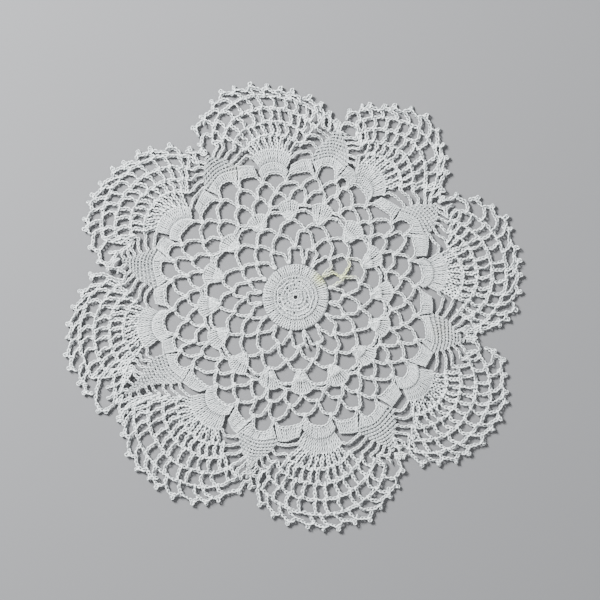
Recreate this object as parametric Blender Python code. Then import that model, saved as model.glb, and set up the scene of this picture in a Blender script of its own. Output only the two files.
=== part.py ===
"""A round crocheted lace doily, lying flat: one sheet, cut through at its larger gaps.

The plan is drawn in millimetres about the middle of the centre disc. A place in the plan is a
complex number, x + 1j * y, and an angle is in degrees, counter-clockwise from +X. The sheet is
then made in metres, with its underside on z = 0.
"""
import cmath
import math
from collections import namedtuple

import bmesh
import bpy
import numpy as np

# --- driving sizes, in millimetres -----------------------------------------------------------
MM = 0.001
SHEET = 1.4            # thickness of the crochet
CHAIN = 2.4            # width of a chain of stitches seen from above
DISC_RADIUS = 21.8     # three rounds of trebles worked round the middle
SHELL_HALF = 6.8       # half the width of a shell along its top
SHELL_DROP = 2.0       # how far a shell's corners lie below its top
ARM_RISE = 3.6         # from a net joint to where the arms of two shells meet above it
BLOCK_HALF = 11.4      # half the width of the close trebles at a petal's root
BLOCK_FLARE = 14.3     # the same at their top, on the side where the rows begin
ROW_HEIGHT = 7.5       # a row of trebles
PICOT_LONG = 4.2       # a picot, from the rim chain to its tip
PICOT_WIDE = 3.6
RIM_DIP = 3.2          # how far the edge stands above a joint of the rim, between two picots
LEAST_GAP = 16.0       # the smallest gap that is cut, in square millimetres
SIDE_GAPS = 3          # how many gaps beside each petal are cut, the largest first
EDGE_LEFT = 0.8        # the least that a gap leaves between itself and the doily's edge
GAP_CORNERS = 8        # corners of a cut gap; the smaller ones take two fewer
SMALL_GAP = 34.0       # a gap of less than this many square millimetres is a smaller one

# A petal's rounds: level, as a share of the rim's reach; the angles of the first and last loop
# from the petal's axis; and how many loops fewer than the rim it has.
Round = namedtuple("Round", "name level first last fewer")
ROUNDS = (
    Round("bars", 0.478, -34, 21, 3),
    Round("net one", 0.617, -38, 26, 2),
    Round("net two", 0.759, -41, 32, 1),
    Round("net three", 0.891, -40, 41, 1),
    Round("rim", 1.000, -48, 48, 0),
)
BLOCK_LEVEL = 0.345    # top of the close trebles, as a share of the rim's reach
USUAL_SIDE = 48.0      # the angle, from its axis, at which a usual petal's rim ends

# The sides of a wedge, row by row: height above its arch, and half its width
WedgeRow = namedtuple("WedgeRow", "height half")
WEDGE_ROWS = (
    WedgeRow(6.5, 12.3), WedgeRow(10.1, 11.1), WedgeRow(13.3, 9.1),
    WedgeRow(16.2, 6.5), WedgeRow(18.9, 3.9), WedgeRow(21.4, 1.6),
)
USUAL_WEDGE = 29.0     # from a usual wedge's arch to its tip

# The inner net, one row for each of its sixteen spokes: the angle of the foot on the disc, then
# the angle and radius of the joints of the first two rounds, of the shell's root, of its top,
# and of the joint between this shell and the next.
Spoke = namedtuple("Spoke", "foot one_at one_r two_at two_r root_at root_r top_at top_r gap_at gap_r")
SPOKES = (
    Spoke(-9, 2.4, 31.0, 12.6, 42.5, 2.4, 49.5, 3.5, 62.9, 15.9, 56.9),
    Spoke(16, 23.5, 32.3, 36.8, 41.9, 25.3, 48.4, 27.6, 62.0, 38.8, 58.2),
    Spoke(37.6, 48.2, 32.8, 60.0, 42.5, 48.5, 48.4, 49.4, 62.3, 62.4, 56.9),
    Spoke(62, 70.0, 33.0, 82.4, 43.9, 72.6, 49.0, 72.9, 62.9, 84.7, 56.6),
    Spoke(77, 90.6, 32.8, 105.0, 41.4, 94.4, 50.1, 94.4, 62.9, 105.6, 56.6),
    Spoke(101, 116.5, 32.2, 127.6, 40.3, 117.0, 47.9, 116.8, 59.0, 128.5, 55.5),
    Spoke(125, 138.8, 32.2, 151.8, 38.7, 140.0, 48.4, 141.5, 60.1, 153.5, 57.1),
    Spoke(150, 161.8, 31.0, 174.0, 40.6, 164.7, 48.4, 164.7, 61.8, 175.3, 58.8),
    Spoke(172, 181.2, 31.7, 193.2, 40.3, 185.0, 49.5, 185.6, 63.6, 197.0, 57.4),
    Spoke(190, 201.8, 30.9, 214.7, 41.4, 206.5, 49.0, 207.6, 62.9, 219.4, 57.4),
    Spoke(214, 223.0, 32.2, 238.2, 40.9, 228.8, 49.0, 230.0, 62.3, 242.4, 56.0),
    Spoke(235, 249.4, 31.7, 261.8, 40.9, 249.4, 49.0, 253.0, 61.8, 264.0, 56.6),
    Spoke(262, 274.0, 32.3, 285.0, 41.9, 273.5, 47.9, 274.0, 62.9, 287.0, 58.8),
    Spoke(284, 295.9, 33.3, 307.0, 43.6, 297.0, 50.1, 298.2, 63.9, 309.4, 59.3),
    Spoke(307, 317.6, 33.8, 330.3, 43.0, 318.8, 50.6, 320.6, 64.5, 331.2, 58.8),
    Spoke(330.6, 340.0, 32.8, 350.6, 41.9, 341.2, 51.2, 341.5, 63.9, 353.0, 58.8),
)

# The outer net, one row for each of its thirty-two loops: the angle and radius of the joint on
# its sixth round, of the joint on its seventh, and of the top of the arch that follows. The
# arches carry, in turn, a patch, a wedge, a patch and a petal.
Loop = namedtuple("Loop", "six_at six_r seven_at seven_r arch_at arch_r")
LOOPS = (
    Loop(10.3, 69.0, 17.9, 77.7, 26.2, 85.0), Loop(23.5, 69.5, 29.7, 80.9, 33.0, 88.5),
    Loop(34.1, 69.5, 37.6, 78.3, 46.0, 80.3), Loop(45.3, 67.9, 52.4, 73.9, 60.0, 82.7),
    Loop(58.2, 67.9, 65.0, 77.7, 67.6, 83.9), Loop(68.2, 69.8, 70.9, 78.8, 75.9, 88.5),
    Loop(76.8, 70.7, 80.6, 78.3, 86.5, 82.2), Loop(87.0, 71.2, 94.5, 74.6, 100.0, 82.2),
    Loop(100.6, 68.5, 106.2, 76.5, 113.5, 84.8), Loop(111.2, 67.9, 117.4, 77.7, 121.8, 88.1),
    Loop(122.4, 68.5, 127.6, 78.3, 134.0, 82.9), Loop(135.3, 68.5, 141.2, 76.5, 150.0, 85.2),
    Loop(149.0, 69.0, 155.3, 80.4, 160.0, 88.1), Loop(159.7, 70.7, 163.5, 81.5, 166.5, 90.4),
    Loop(168.8, 70.7, 172.4, 80.4, 179.4, 84.8), Loop(179.7, 70.0, 185.6, 78.8, 191.8, 87.4),
    Loop(191.8, 70.7, 197.6, 80.4, 201.8, 84.8), Loop(203.5, 70.7, 205.0, 82.0, 210.0, 88.1),
    Loop(211.2, 70.7, 213.5, 79.3, 219.5, 82.9), Loop(223.0, 69.5, 228.2, 76.5, 234.7, 83.3),
    Loop(235.3, 69.0, 241.2, 76.5, 247.0, 86.6), Loop(248.8, 70.0, 250.6, 81.5, 255.3, 90.7),
    Loop(256.5, 69.5, 260.0, 80.4, 265.9, 84.8), Loop(267.0, 70.0, 274.7, 76.5, 280.9, 85.5),
    Loop(282.0, 68.5, 287.0, 79.3, 293.5, 87.1), Loop(293.5, 70.7, 298.8, 82.3, 302.4, 91.2),
    Loop(303.5, 72.8, 308.5, 81.5, 314.7, 84.7), Loop(313.8, 71.8, 320.9, 80.4, 324.7, 88.1),
    Loop(325.3, 72.3, 330.0, 79.9, 335.3, 87.9), Loop(336.5, 72.8, 340.3, 82.6, 343.5, 89.0),
    Loop(345.9, 70.7, 351.2, 77.7, 355.9, 82.2), Loop(358.2, 71.2, 5.3, 76.9, 11.2, 84.2),
)

# The petals: where their centre lies, the way they point, the reach of the rim at its highest,
# how far round from the axis that is, the angle and reach of the rim's first and last loop, how
# many loops, each with its picot, the rim has, and where and how far its edge is drawn in.
Petal = namedtuple("Petal", "at out axis rim peak first first_rim last last_rim loops dent_at dent")
PETALS = (
    Petal(11.2, 75.7, 10.4, 68.9, 0, -48, 57.5, 48, 58.5, 13, 0, 0.0),
    Petal(60.0, 74.1, 50.5, 68.9, -4, -43, 56.6, 50, 46.5, 13, 15, 3.0),
    Petal(100.0, 73.8, 104.2, 67.6, 14, -51, 54.6, 47, 53.5, 13, -18, 4.0),
    Petal(150.0, 76.7, 151.1, 68.9, 12, -57, 53.8, 46, 60.5, 13, -22, 1.5),
    Petal(191.8, 79.3, 198.6, 72.2, 12, -56, 54.5, 37, 70.0, 12, -14, 1.0),
    Petal(234.7, 74.8, 231.3, 75.4, -4, -38, 70.5, 45, 61.5, 12, 15, 1.0),
    Petal(280.9, 77.0, 280.1, 72.8, 4, -52, 62.5, 45, 62.4, 13, -20, 1.0),
    Petal(324.7, 79.3, 326.4, 72.8, 0, -50, 55.5, 53, 54.5, 14, -10, 1.0),
)
DENT_WIDE = 18.0       # half the spread of a drawn-in stretch of rim, in degrees

# The wedges between the petals: the top of the arch, the tip, and the notch in the outline
Wedge = namedtuple("Wedge", "arch_at arch_r tip_at tip_r notch_at notch_r")
WEDGES = (
    Wedge(33.0, 87.5, 33.5, 115.7, 33.9, 115.0),
    Wedge(75.9, 87.5, 77.0, 115.7, 77.5, 114.5),
    Wedge(121.8, 87.1, 123.0, 113.8, 123.4, 111.0),
    Wedge(166.5, 89.4, 169.5, 118.3, 170.6, 121.0),
    Wedge(210.0, 87.1, 210.5, 133.2, 213.6, 138.0),
    Wedge(255.3, 89.7, 254.0, 126.8, 255.2, 124.5),
    Wedge(302.4, 90.2, 303.0, 123.5, 303.2, 124.0),
    Wedge(343.5, 88.0, 346.5, 115.7, 347.8, 114.5),
)

COTTON = (0.82, 0.83, 0.82, 1.0)


# --- places and curves in the plan -----------------------------------------------------------
def place(degrees, radius):
    """The place at an angle and a distance from the middle of the doily."""
    return cmath.rect(radius, math.radians(degrees))


def unit(step):
    """The direction of a step, with length one."""
    return step / abs(step)


def curve_through(start, start_pull, end_pull, end, count):
    """Points on a cubic curve from start to end, steered by two pull points."""
    t = np.linspace(0.0, 1.0, count)
    s = 1.0 - t
    return s**3 * start + 3 * s * s * t * start_pull + 3 * s * t * t * end_pull + t**3 * end


def leg(foot, tip, upward, along, bulge, count):
    """One leg of a chain loop, from its foot up to the loop's tip."""
    length = abs(tip - foot)
    out = unit(upward * bulge + unit(tip - foot) * (1.0 - bulge))
    return curve_through(foot, foot + 0.42 * length * out, tip - 0.4 * length * along, tip, count)


def loop_of_chain(first, tip, second, bulge=0.6, count=7):
    """The two legs of a loop, each from its foot to the tip."""
    along = unit(second - first)
    upward = 1j * along
    if ((tip - (first + second) / 2) * upward.conjugate()).real < 0:
        upward = -upward
    return (leg(first, tip, upward, along, bulge, count),
            leg(second, tip, upward, -along, bulge, count))


def over(legs):
    """A loop's whole line, foot to foot."""
    return np.concatenate([legs[0], legs[1][::-1]])


# --- the inner rounds ------------------------------------------------------------------------
def inner_gaps():
    """The gaps of the sixteen-fold net and of the shell round, as closed lines of thread."""
    count = len(SPOKES)
    foot = [place(s.foot, DISC_RADIUS + 1.3) for s in SPOKES]
    one = [place(s.one_at, s.one_r) for s in SPOKES]
    two = [place(s.two_at, s.two_r) for s in SPOKES]
    root = [place(s.root_at, s.root_r) for s in SPOKES]
    gap = [place(s.gap_at, s.gap_r) for s in SPOKES]
    round1 = [loop_of_chain(foot[k], one[k], foot[(k + 1) % count], 0.8) for k in range(count)]
    round2 = [loop_of_chain(one[k], two[k], one[(k + 1) % count]) for k in range(count)]
    round3 = [loop_of_chain(two[k - 1], root[k], two[k]) for k in range(count)]
    round4 = [loop_of_chain(root[k], gap[k], root[(k + 1) % count]) for k in range(count)]
    lines = []
    for k in range(count):
        after = (k + 1) % count
        edge = [place(SPOKES[k].foot + turn, DISC_RADIUS - CHAIN / 2)
                for turn in np.linspace(22.5, 0.0, 5)]
        lines.append(np.concatenate([over(round1[k]), edge]))
        lines.append(np.concatenate([over(round2[k]), round1[after][0][::-1], round1[k][1]]))
        lines.append(np.concatenate([over(round3[k]), round2[k][0][::-1], round2[k - 1][1]]))
        lines.append(np.concatenate([over(round4[k]), round3[after][0][::-1], round3[k][1]]))
    for k in range(count):
        first, second = shell_corners(SPOKES[k])
        after_first = shell_corners(SPOKES[(k + 1) % count])[0]
        meet = arms_meet(SPOKES[k])
        lines.append(np.concatenate([round4[k][0], [meet, second]]))
        lines.append(np.concatenate([round4[k][1], [meet, after_first]]))
    return lines


def shell_corners(spoke):
    """The two top corners of a shell, the one at the lower angle first."""
    top = place(spoke.top_at, spoke.top_r - SHELL_DROP)
    side = 1j * unit(top) * SHELL_HALF
    return top - side, top + side


def arms_meet(spoke):
    """Where the chain arms of two neighbouring shells meet, above the joint of round four."""
    return place(spoke.gap_at, spoke.gap_r + ARM_RISE)


# --- the outer net ---------------------------------------------------------------------------
def outer_gaps():
    """The gaps of the thirty-two-fold net, up to the arches that carry the border."""
    count = len(LOOPS)
    feet = []
    under = []
    for k, spoke in enumerate(SPOKES):
        following = SPOKES[(k + 1) % len(SPOKES)]
        top = place(spoke.top_at, spoke.top_r)
        next_top = place(following.top_at, following.top_r)
        meet = arms_meet(spoke)
        feet += [top, meet]
        under.append([meet, shell_corners(spoke)[1], top])
        under.append([next_top, shell_corners(following)[0], meet])
    six = [place(row.six_at, row.six_r) for row in LOOPS]
    seven = [place(row.seven_at, row.seven_r) for row in LOOPS]
    tops = [place(row.arch_at, row.arch_r) for row in LOOPS]
    lines = []
    for k in range(count):
        after = (k + 1) % count
        round6 = loop_of_chain(feet[k], six[k], feet[after], 0.65)
        round7 = loop_of_chain(six[k], seven[k], six[after], 0.65)
        arch = loop_of_chain(seven[k], tops[k], seven[after], 0.75)
        next7 = loop_of_chain(six[after], seven[after], six[(k + 2) % count], 0.65)
        next6 = loop_of_chain(feet[after], six[after], feet[(k + 2) % count], 0.65)
        lines.append(np.concatenate([over(round6), under[k]]))
        lines.append(np.concatenate([over(round7), next6[0][::-1], round6[1]]))
        lines.append(np.concatenate([over(arch), next7[0][::-1], round7[1]]))
    return lines


# --- the petals and wedges -------------------------------------------------------------------
class PetalPlan:
    """One petal's rounds of loops, in its own polar frame."""

    def __init__(self, row):
        self.row = row
        self.centre = place(row.at, row.out)
        self.up = place(row.axis, 1.0)
        self.angles = {}
        self.tips = {}
        for line in ROUNDS:
            first = line.first * abs(row.first) / USUAL_SIDE
            last = line.last * row.last / USUAL_SIDE
            turns = np.linspace(first, last, row.loops - line.fewer)
            self.angles[line.name] = turns
            self.tips[line.name] = [self.at(turn, line.level) for turn in turns]
        self.joints = self.find_joints()

    def reach(self, turn, level):
        """How far out a round lies at an angle from the axis: it falls away on both sides."""
        row = self.row
        side, end = (row.last, row.last_rim) if turn > row.peak else (row.first, row.first_rim)
        share = abs((turn - row.peak) / (side - row.peak))
        dent = row.dent * level**4 * math.exp(-((turn - row.dent_at) / DENT_WIDE) ** 2)
        return level * (row.rim - (row.rim - end) * share**2.2) - dent

    def at(self, turn, level):
        """The place at an angle from the axis, on a round of the given level."""
        return self.centre + self.reach(turn, level) * self.up * place(turn, 1.0)

    def block(self, across, height):
        """A place in the close trebles at the root, across and along the axis."""
        return self.centre + self.up * (height + 1j * across)

    def end_joint(self, name, side):
        """The joint beyond the first or last loop of a round, on its side chain."""
        turns = self.angles[name]
        level = next(line.level for line in ROUNDS if line.name == name)
        spread = 0.85 * (turns[1] - turns[0])
        turn = turns[-1] + spread if side > 0 else turns[0] - spread
        return self.at(turn, 0.96 * level)

    def find_joints(self):
        """The feet of each net round: the tips of the round below, and its side joints."""
        joints = {}
        for below, line in zip(ROUNDS, ROUNDS[1:]):
            feet = list(self.tips[below.name]) + [self.end_joint(below.name, +1)]
            if len(feet) <= len(self.tips[line.name]):
                feet.insert(0, self.end_joint(below.name, -1))
            joints[line.name] = feet
        return joints

    def rim_gaps(self):
        """The gaps under the loops of the rim, the largest of the petal's net."""
        feet = self.joints["rim"]
        lines = []
        for tip, first, second in zip(self.tips["rim"], feet, feet[1:]):
            legs = loop_of_chain(first, tip, second, 0.7, 6)
            lowest = self.foot_between(first, second)
            low = [second, second + 0.25 * (lowest - second), lowest,
                   first + 0.25 * (lowest - first), first]
            lines.append(np.concatenate([over(legs), low]))
        return lines

    def foot_between(self, first, second):
        """The foot of the round below the rim that lies between two feet of the rim."""
        middle = (first + second) / 2
        return min(self.joints["net three"], key=lambda foot: abs(foot - middle))

    def side_chains(self, side, wedge):
        """The chains from one side of the petal to the wedge, the lowest first."""
        half = BLOCK_HALF if side > 0 else BLOCK_FLARE
        corner = self.block(side * half, BLOCK_LEVEL * self.row.rim)
        end = 0 if side < 0 else -1
        turns = self.angles["bars"]
        post_turn = turns[end] + side * 0.5 * (turns[1] - turns[0])
        starts = [corner, self.at(post_turn, ROUNDS[0].level)]
        starts += [self.joints[line.name][end] for line in ROUNDS[1:]]
        passes = [None] + starts[2:] + [None]
        chains = []
        for k, (start, through) in enumerate(zip(starts, passes)):
            landing = wedge_side(wedge, -side, k)
            out = unit((start + landing) / 2)
            if through is None:
                pulls = (start + 0.35 * (landing - start) + 3.0 * out,
                         start + 0.75 * (landing - start) + 2.0 * out)
                chains.append(curve_through(start, pulls[0], pulls[1], landing, 8))
                continue
            onward = unit(landing - start)
            near = abs(through - start)
            far = abs(landing - through)
            rise = curve_through(start, start + 0.4 * near * out, through - 0.35 * near * onward,
                                 through, 4)
            fall = curve_through(through, through + 0.35 * far * onward,
                                 landing - 0.3 * far * unit(landing - through) + 0.6 * out,
                                 landing, 5)
            chains.append(np.concatenate([rise, fall[1:]]))
        return chains


def wedge_side(wedge, side, row):
    """A place on the side of a wedge, at the height of one of its rows."""
    stretch = (wedge.tip_r - wedge.arch_r) / USUAL_WEDGE
    radius = wedge.arch_r + WEDGE_ROWS[row].height * stretch
    share = (radius - wedge.arch_r) / (wedge.tip_r - wedge.arch_r)
    middle = place(wedge.arch_at + share * (wedge.tip_at - wedge.arch_at), radius)
    return middle + side * 1j * unit(middle) * WEDGE_ROWS[row].half


def side_gaps(petal, side, wedge, patch_loop):
    """The long gaps between the chains that run from a petal to its wedge."""
    chains = petal.side_chains(side, wedge)
    root = petal.block(side * BLOCK_HALF, 0.235 * petal.row.rim)
    patch_top = place(LOOPS[patch_loop].arch_at, LOOPS[patch_loop].arch_r + ROW_HEIGHT)
    lines = [np.concatenate([chains[0], [patch_top, root]])]
    for lower, upper in zip(chains, chains[1:]):
        lines.append(np.concatenate([upper, lower[::-1]]))
    return lines


# --- cutting the gaps ------------------------------------------------------------------------
def clearance(spots, line):
    """The distance from each of some places to a closed line."""
    starts = line
    steps = np.roll(line, -1) - line
    lengths = np.maximum(np.abs(steps) ** 2, 1e-9)
    offsets = spots[:, None] - starts[None, :]
    share = np.clip((offsets * steps.conj()).real / lengths, 0.0, 1.0)
    return np.abs(offsets - share * steps).min(axis=1)


def roomiest_spot(line):
    """The place inside a gap that is furthest from its threads."""
    best = line.mean()
    span = max(np.ptp(line.real), np.ptp(line.imag)) / 4
    for _ in range(7):
        grid = np.linspace(-1.0, 1.0, 5)
        spots = best + span * (grid[:, None] + 1j * grid[None, :]).ravel()
        room = np.where(inside(spots, line), clearance(spots, line), -1.0)
        best = spots[int(room.argmax())]
        span *= 0.55
    return best


def inside(spots, line):
    """Whether each place lies inside a closed line, by the turns the line makes round it."""
    vectors = line[None, :] - spots[:, None]
    turns = np.angle(np.roll(vectors, -1, axis=1) / vectors)
    return np.abs(turns.sum(axis=1)) > math.pi


def cut_gap(line, corners):
    """The edge of a cut gap: from its roomiest spot out to the near edge of the threads."""
    middle = roomiest_spot(line)
    spread = line - middle
    moment = np.cov(np.stack([spread.real, spread.imag]))
    sizes, axes = np.linalg.eigh(moment)
    long_way = complex(*axes[:, 1])
    stretch = math.sqrt(sizes[0] / sizes[1])
    edge = []
    for turn in np.arange(corners) * 2 * math.pi / corners:
        heading = unit(complex(math.cos(turn), math.sin(turn) * stretch)) * long_way
        travel = np.arange(0.1, 60.0, 0.1)
        room = clearance(middle + travel * heading, line)
        stop = int(np.argmax(room < CHAIN / 2))
        edge.append(middle + travel[max(stop - 1, 0)] * heading)
    return np.array(edge)


def area_of(edge):
    """The area inside a closed line, in square millimetres."""
    following = np.roll(edge, -1)
    return abs((edge.conj() * following).imag.sum()) / 2


def cut_edges(lines):
    """The edges of the gaps that are large enough to cut, the largest first."""
    edges = []
    for line in lines:
        edge = cut_gap(line, GAP_CORNERS)
        if area_of(edge) < SMALL_GAP:
            edge = cut_gap(line, GAP_CORNERS - 2)
        if area_of(edge) > LEAST_GAP:
            edges.append(edge)
    return sorted(edges, key=area_of, reverse=True)


def cut_gaps(rim):
    """The edges of the gaps cut inside a rim: both nets', the petals' and those beside them."""
    edges = cut_edges(inner_gaps() + outer_gaps())
    for k, row in enumerate(PETALS):
        petal = PetalPlan(row)
        edges += cut_edges(petal.rim_gaps())
        beside = side_gaps(petal, +1, WEDGES[k], 4 * k)
        beside += side_gaps(petal, -1, WEDGES[k - 1], 4 * k - 2)
        edges += cut_edges(beside)[:SIDE_GAPS]
    return [edge for edge in edges
            if inside(edge, rim).all() and clearance(edge, rim).min() > EDGE_LEFT]


# --- the outline -----------------------------------------------------------------------------
def outline():
    """The doily's edge: the rims of the petals with their picots, and the notches between."""
    edge = []
    for k, row in enumerate(PETALS):
        petal = PetalPlan(row)
        before, after = WEDGES[k - 1], WEDGES[k]
        edge.append(place(before.notch_at, before.notch_r))
        feet = petal.joints["rim"]
        tips = petal.tips["rim"]
        rim = []
        for turn, foot, tip in zip(petal.angles["rim"], feet, tips):
            out = petal.up * place(turn, 1.0)
            if rim:
                rim.append(foot + out * RIM_DIP)
            side = 1j * out
            base = tip + out * CHAIN / 2
            rim += [base - side * 0.5 * PICOT_WIDE, base + out * PICOT_LONG - side * 0.3 * PICOT_WIDE,
                    base + out * PICOT_LONG + side * 0.3 * PICOT_WIDE, base + side * 0.5 * PICOT_WIDE]
        edge += [spot for spot in rim if between(spot, before.notch_at, after.notch_at)]
    return np.array(edge)


def between(spot, first, last):
    """Whether a place lies between the directions of two notches, a little clear of both."""
    spread = (last - first) % 360
    turn = (math.degrees(cmath.phase(spot)) - first) % 360
    clear = math.degrees(1.6 / abs(spot))
    return clear < turn < spread - clear


# --- the solid -------------------------------------------------------------------------------
def add_line(curve, edge):
    """Adds one closed line of the plan to the flat curve, in metres."""
    spline = curve.splines.new("POLY")
    spline.points.add(len(edge) - 1)
    for point, spot in zip(spline.points, edge):
        point.co = (spot.real * MM, spot.imag * MM, 0.0, 1.0)
    spline.use_cyclic_u = True


def make_sheet(collection):
    """The doily: a flat filled curve with a thickness, made a mesh that lies on z = 0."""
    curve = bpy.data.curves.new("doily_plan", "CURVE")
    curve.dimensions = "2D"
    curve.fill_mode = "BOTH"
    curve.extrude = SHEET * MM / 2
    rim = outline()
    add_line(curve, rim)
    for edge in cut_gaps(rim):
        add_line(curve, edge)
    flat = bpy.data.objects.new("doily_plan", curve)
    collection.objects.link(flat)
    bpy.context.view_layer.update()
    evaluated = flat.evaluated_get(bpy.context.evaluated_depsgraph_get())
    mesh = bpy.data.meshes.new_from_object(evaluated)
    bpy.data.objects.remove(flat)
    bpy.data.curves.remove(curve)

    shape = bmesh.new()
    shape.from_mesh(mesh)
    bmesh.ops.remove_doubles(shape, verts=shape.verts, dist=1e-6)
    bmesh.ops.triangulate(shape, faces=shape.faces)
    for vertex in shape.verts:
        vertex.co.z += SHEET * MM / 2
    bmesh.ops.recalc_face_normals(shape, faces=shape.faces)
    shape.to_mesh(mesh)
    shape.free()

    mesh.name = "doily"
    mesh.materials.clear()
    mesh.materials.append(cotton())
    doily = bpy.data.objects.new("doily", mesh)
    collection.objects.link(doily)
    return doily


def cotton():
    """Bleached crochet cotton: cool white and quite matt."""
    material = bpy.data.materials.new("crochet_cotton")
    material.use_nodes = True
    shader = material.node_tree.nodes["Principled BSDF"]
    shader.inputs["Base Color"].default_value = COTTON
    shader.inputs["Roughness"].default_value = 0.9
    shader.inputs["Metallic"].default_value = 0.0
    return material


def main():
    """Clears the scene and makes the doily."""
    for thing in list(bpy.data.objects):
        bpy.data.objects.remove(thing, do_unlink=True)
    collection = bpy.data.collections.new("lace_doily")
    bpy.context.scene.collection.children.link(collection)
    make_sheet(collection)


main()
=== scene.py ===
"""A round crocheted lace doily, worked stitch by stitch, lying flat on a pale floor.

The plan of the crochet is drawn in millimetres about the middle of the centre disc. A place in
it is a complex number, x + 1j * y, and an angle is in degrees, counter-clockwise from +X. Each
kind of stitch is modelled once, as closed rings of thread, and worked along the lines of the
plan. Heights are measured up from the floor, and all meshes are made in metres.
"""
import cmath
import logging
import math
from dataclasses import dataclass, field
from enum import Enum

import bpy
import numpy as np
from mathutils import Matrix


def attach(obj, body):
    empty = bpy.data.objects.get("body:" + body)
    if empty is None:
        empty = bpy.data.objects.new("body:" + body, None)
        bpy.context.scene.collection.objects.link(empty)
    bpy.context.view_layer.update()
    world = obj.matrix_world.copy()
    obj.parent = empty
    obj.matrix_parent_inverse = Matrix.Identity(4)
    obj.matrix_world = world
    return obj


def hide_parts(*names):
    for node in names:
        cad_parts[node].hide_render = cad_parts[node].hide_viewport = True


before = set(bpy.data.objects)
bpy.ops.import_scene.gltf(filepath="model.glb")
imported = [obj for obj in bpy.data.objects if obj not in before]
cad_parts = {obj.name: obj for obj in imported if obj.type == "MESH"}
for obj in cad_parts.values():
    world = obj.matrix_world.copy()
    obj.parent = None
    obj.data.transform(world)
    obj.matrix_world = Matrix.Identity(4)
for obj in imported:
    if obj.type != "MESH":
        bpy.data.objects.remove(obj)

log = logging.getLogger("doily")

BODY = "root"
NODE = "doily"
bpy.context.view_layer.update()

MM = 0.001
THREAD = 0.86          # the cotton thread, across
CHAIN_PITCH = 2.5      # one chain stitch, along
CIRCLE_PLACES = 8      # the places round a new circle, before it is subdivided
POST_WIDE = 1.22       # a treble's post, across
LEAD = 6.0             # how far a row's line is led on past both its ends
AXIS_HEIGHT = 0.8      # how high a stitch's middle lies, about which it rolls
LEAST_LIFT = 0.02      # the lowest that a thread lies in its own stitch
LEAST_HEIGHT = 0.05    # the lowest that a thread lies over the floor
WIDTHS = 0.94, 1.06    # how much the stitches of a row vary in width
ROLL_WAVE = 4.5        # the waves in which the stitches of a row roll, along
SWAY_WAVE = 1.3        # the waves in which a row sways, along
ANY_PHASE = 6.3        # a wave starts anywhere up to about this many radians
FEW = 5                # the points that a short line has between each two places
WAYS = 180             # the directions in which an outline is measured
SEED = 11
LIFT = "lift"          # the attribute that says how high in its own stitch a point lies

Line = np.ndarray      # a line in the plan: an array of complex numbers, in millimetres


# --- the plan: places and lines --------------------------------------------------------------
def place(degrees: float, radius: float) -> complex:
    """The place at an angle and a distance from the middle of the doily."""
    return cmath.rect(radius, math.radians(degrees))


def unit(step: complex) -> complex:
    """The direction of a step, with length one."""
    return step / abs(step)


def curve_through(start: complex, start_pull: complex, end_pull: complex, end: complex,
                  count: int = 17) -> Line:
    """Points on a cubic curve.

    Args:
        start: where the curve begins.
        start_pull: the point that its first part bends towards.
        end_pull: the point that its last part bends towards.
        end: where it ends.
        count: how many points to give.

    Returns:
        The points, from start to end.
    """
    t = np.linspace(0.0, 1.0, count)
    s = 1.0 - t
    return s**3 * start + 3 * s * s * t * start_pull + 3 * s * t * t * end_pull + t**3 * end


def smooth(*spots: complex, count: int = 8) -> Line:
    """A line that passes smoothly through some places.

    Args:
        spots: the places, in order.
        count: how many points to give between each two of them.

    Returns:
        The points of the line.
    """
    before = [2 * spots[0] - spots[1], *spots[:-2]]
    after = [*spots[2:], 2 * spots[-1] - spots[-2]]
    parts = []
    for earlier, first, second, later in zip(before, spots, spots[1:], after):
        pull = (second - earlier) / 6, (later - first) / 6
        parts.append(curve_through(first, first + pull[0], second - pull[1], second, count)[:-1])
    return np.concatenate([*parts, [spots[-1]]])


def travelled(line: Line) -> np.ndarray:
    """How far along a line each of its points lies."""
    return np.concatenate([[0.0], np.cumsum(np.abs(np.diff(line)))])


def length_of(line: Line) -> float:
    """How long a line is."""
    return np.abs(np.diff(line)).sum()


def found_at(where: np.ndarray, travel: np.ndarray, values: Line) -> Line:
    """What lies at some distances along a line, from what its points have at theirs."""
    return np.interp(where, travel, values.real) + 1j * np.interp(where, travel, values.imag)


def share_of(line: Line, first: float = 0.0, last: float = 1.0, count: int = 24) -> Line:
    """The stretch of a line between two shares of its length, as evenly spaced points."""
    travel = travelled(line)
    return found_at(np.linspace(first, last, count) * travel[-1], travel, line)


def point_at(line: Line, share: float) -> complex:
    """The point that lies at a share of a line's length."""
    return share_of(line, share, count=2)[0]


def spread(line: Line, count: int) -> Line:
    """The places of so many stitches side by side along a line."""
    return share_of(line, 0.5 / count, (count - 0.5) / count, count)


def joined(line: Line, end: complex) -> Line:
    """A line up to its point that is nearest to some place."""
    return line[: np.argmin(np.abs(line - end)) + 1]


@dataclass(frozen=True)
class Bend:
    """How a chain loop bends: how much it bulges at its feet, and how square its top is."""

    bulge: float = 0.6
    foot: float = 0.42
    top: float = 0.42


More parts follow.
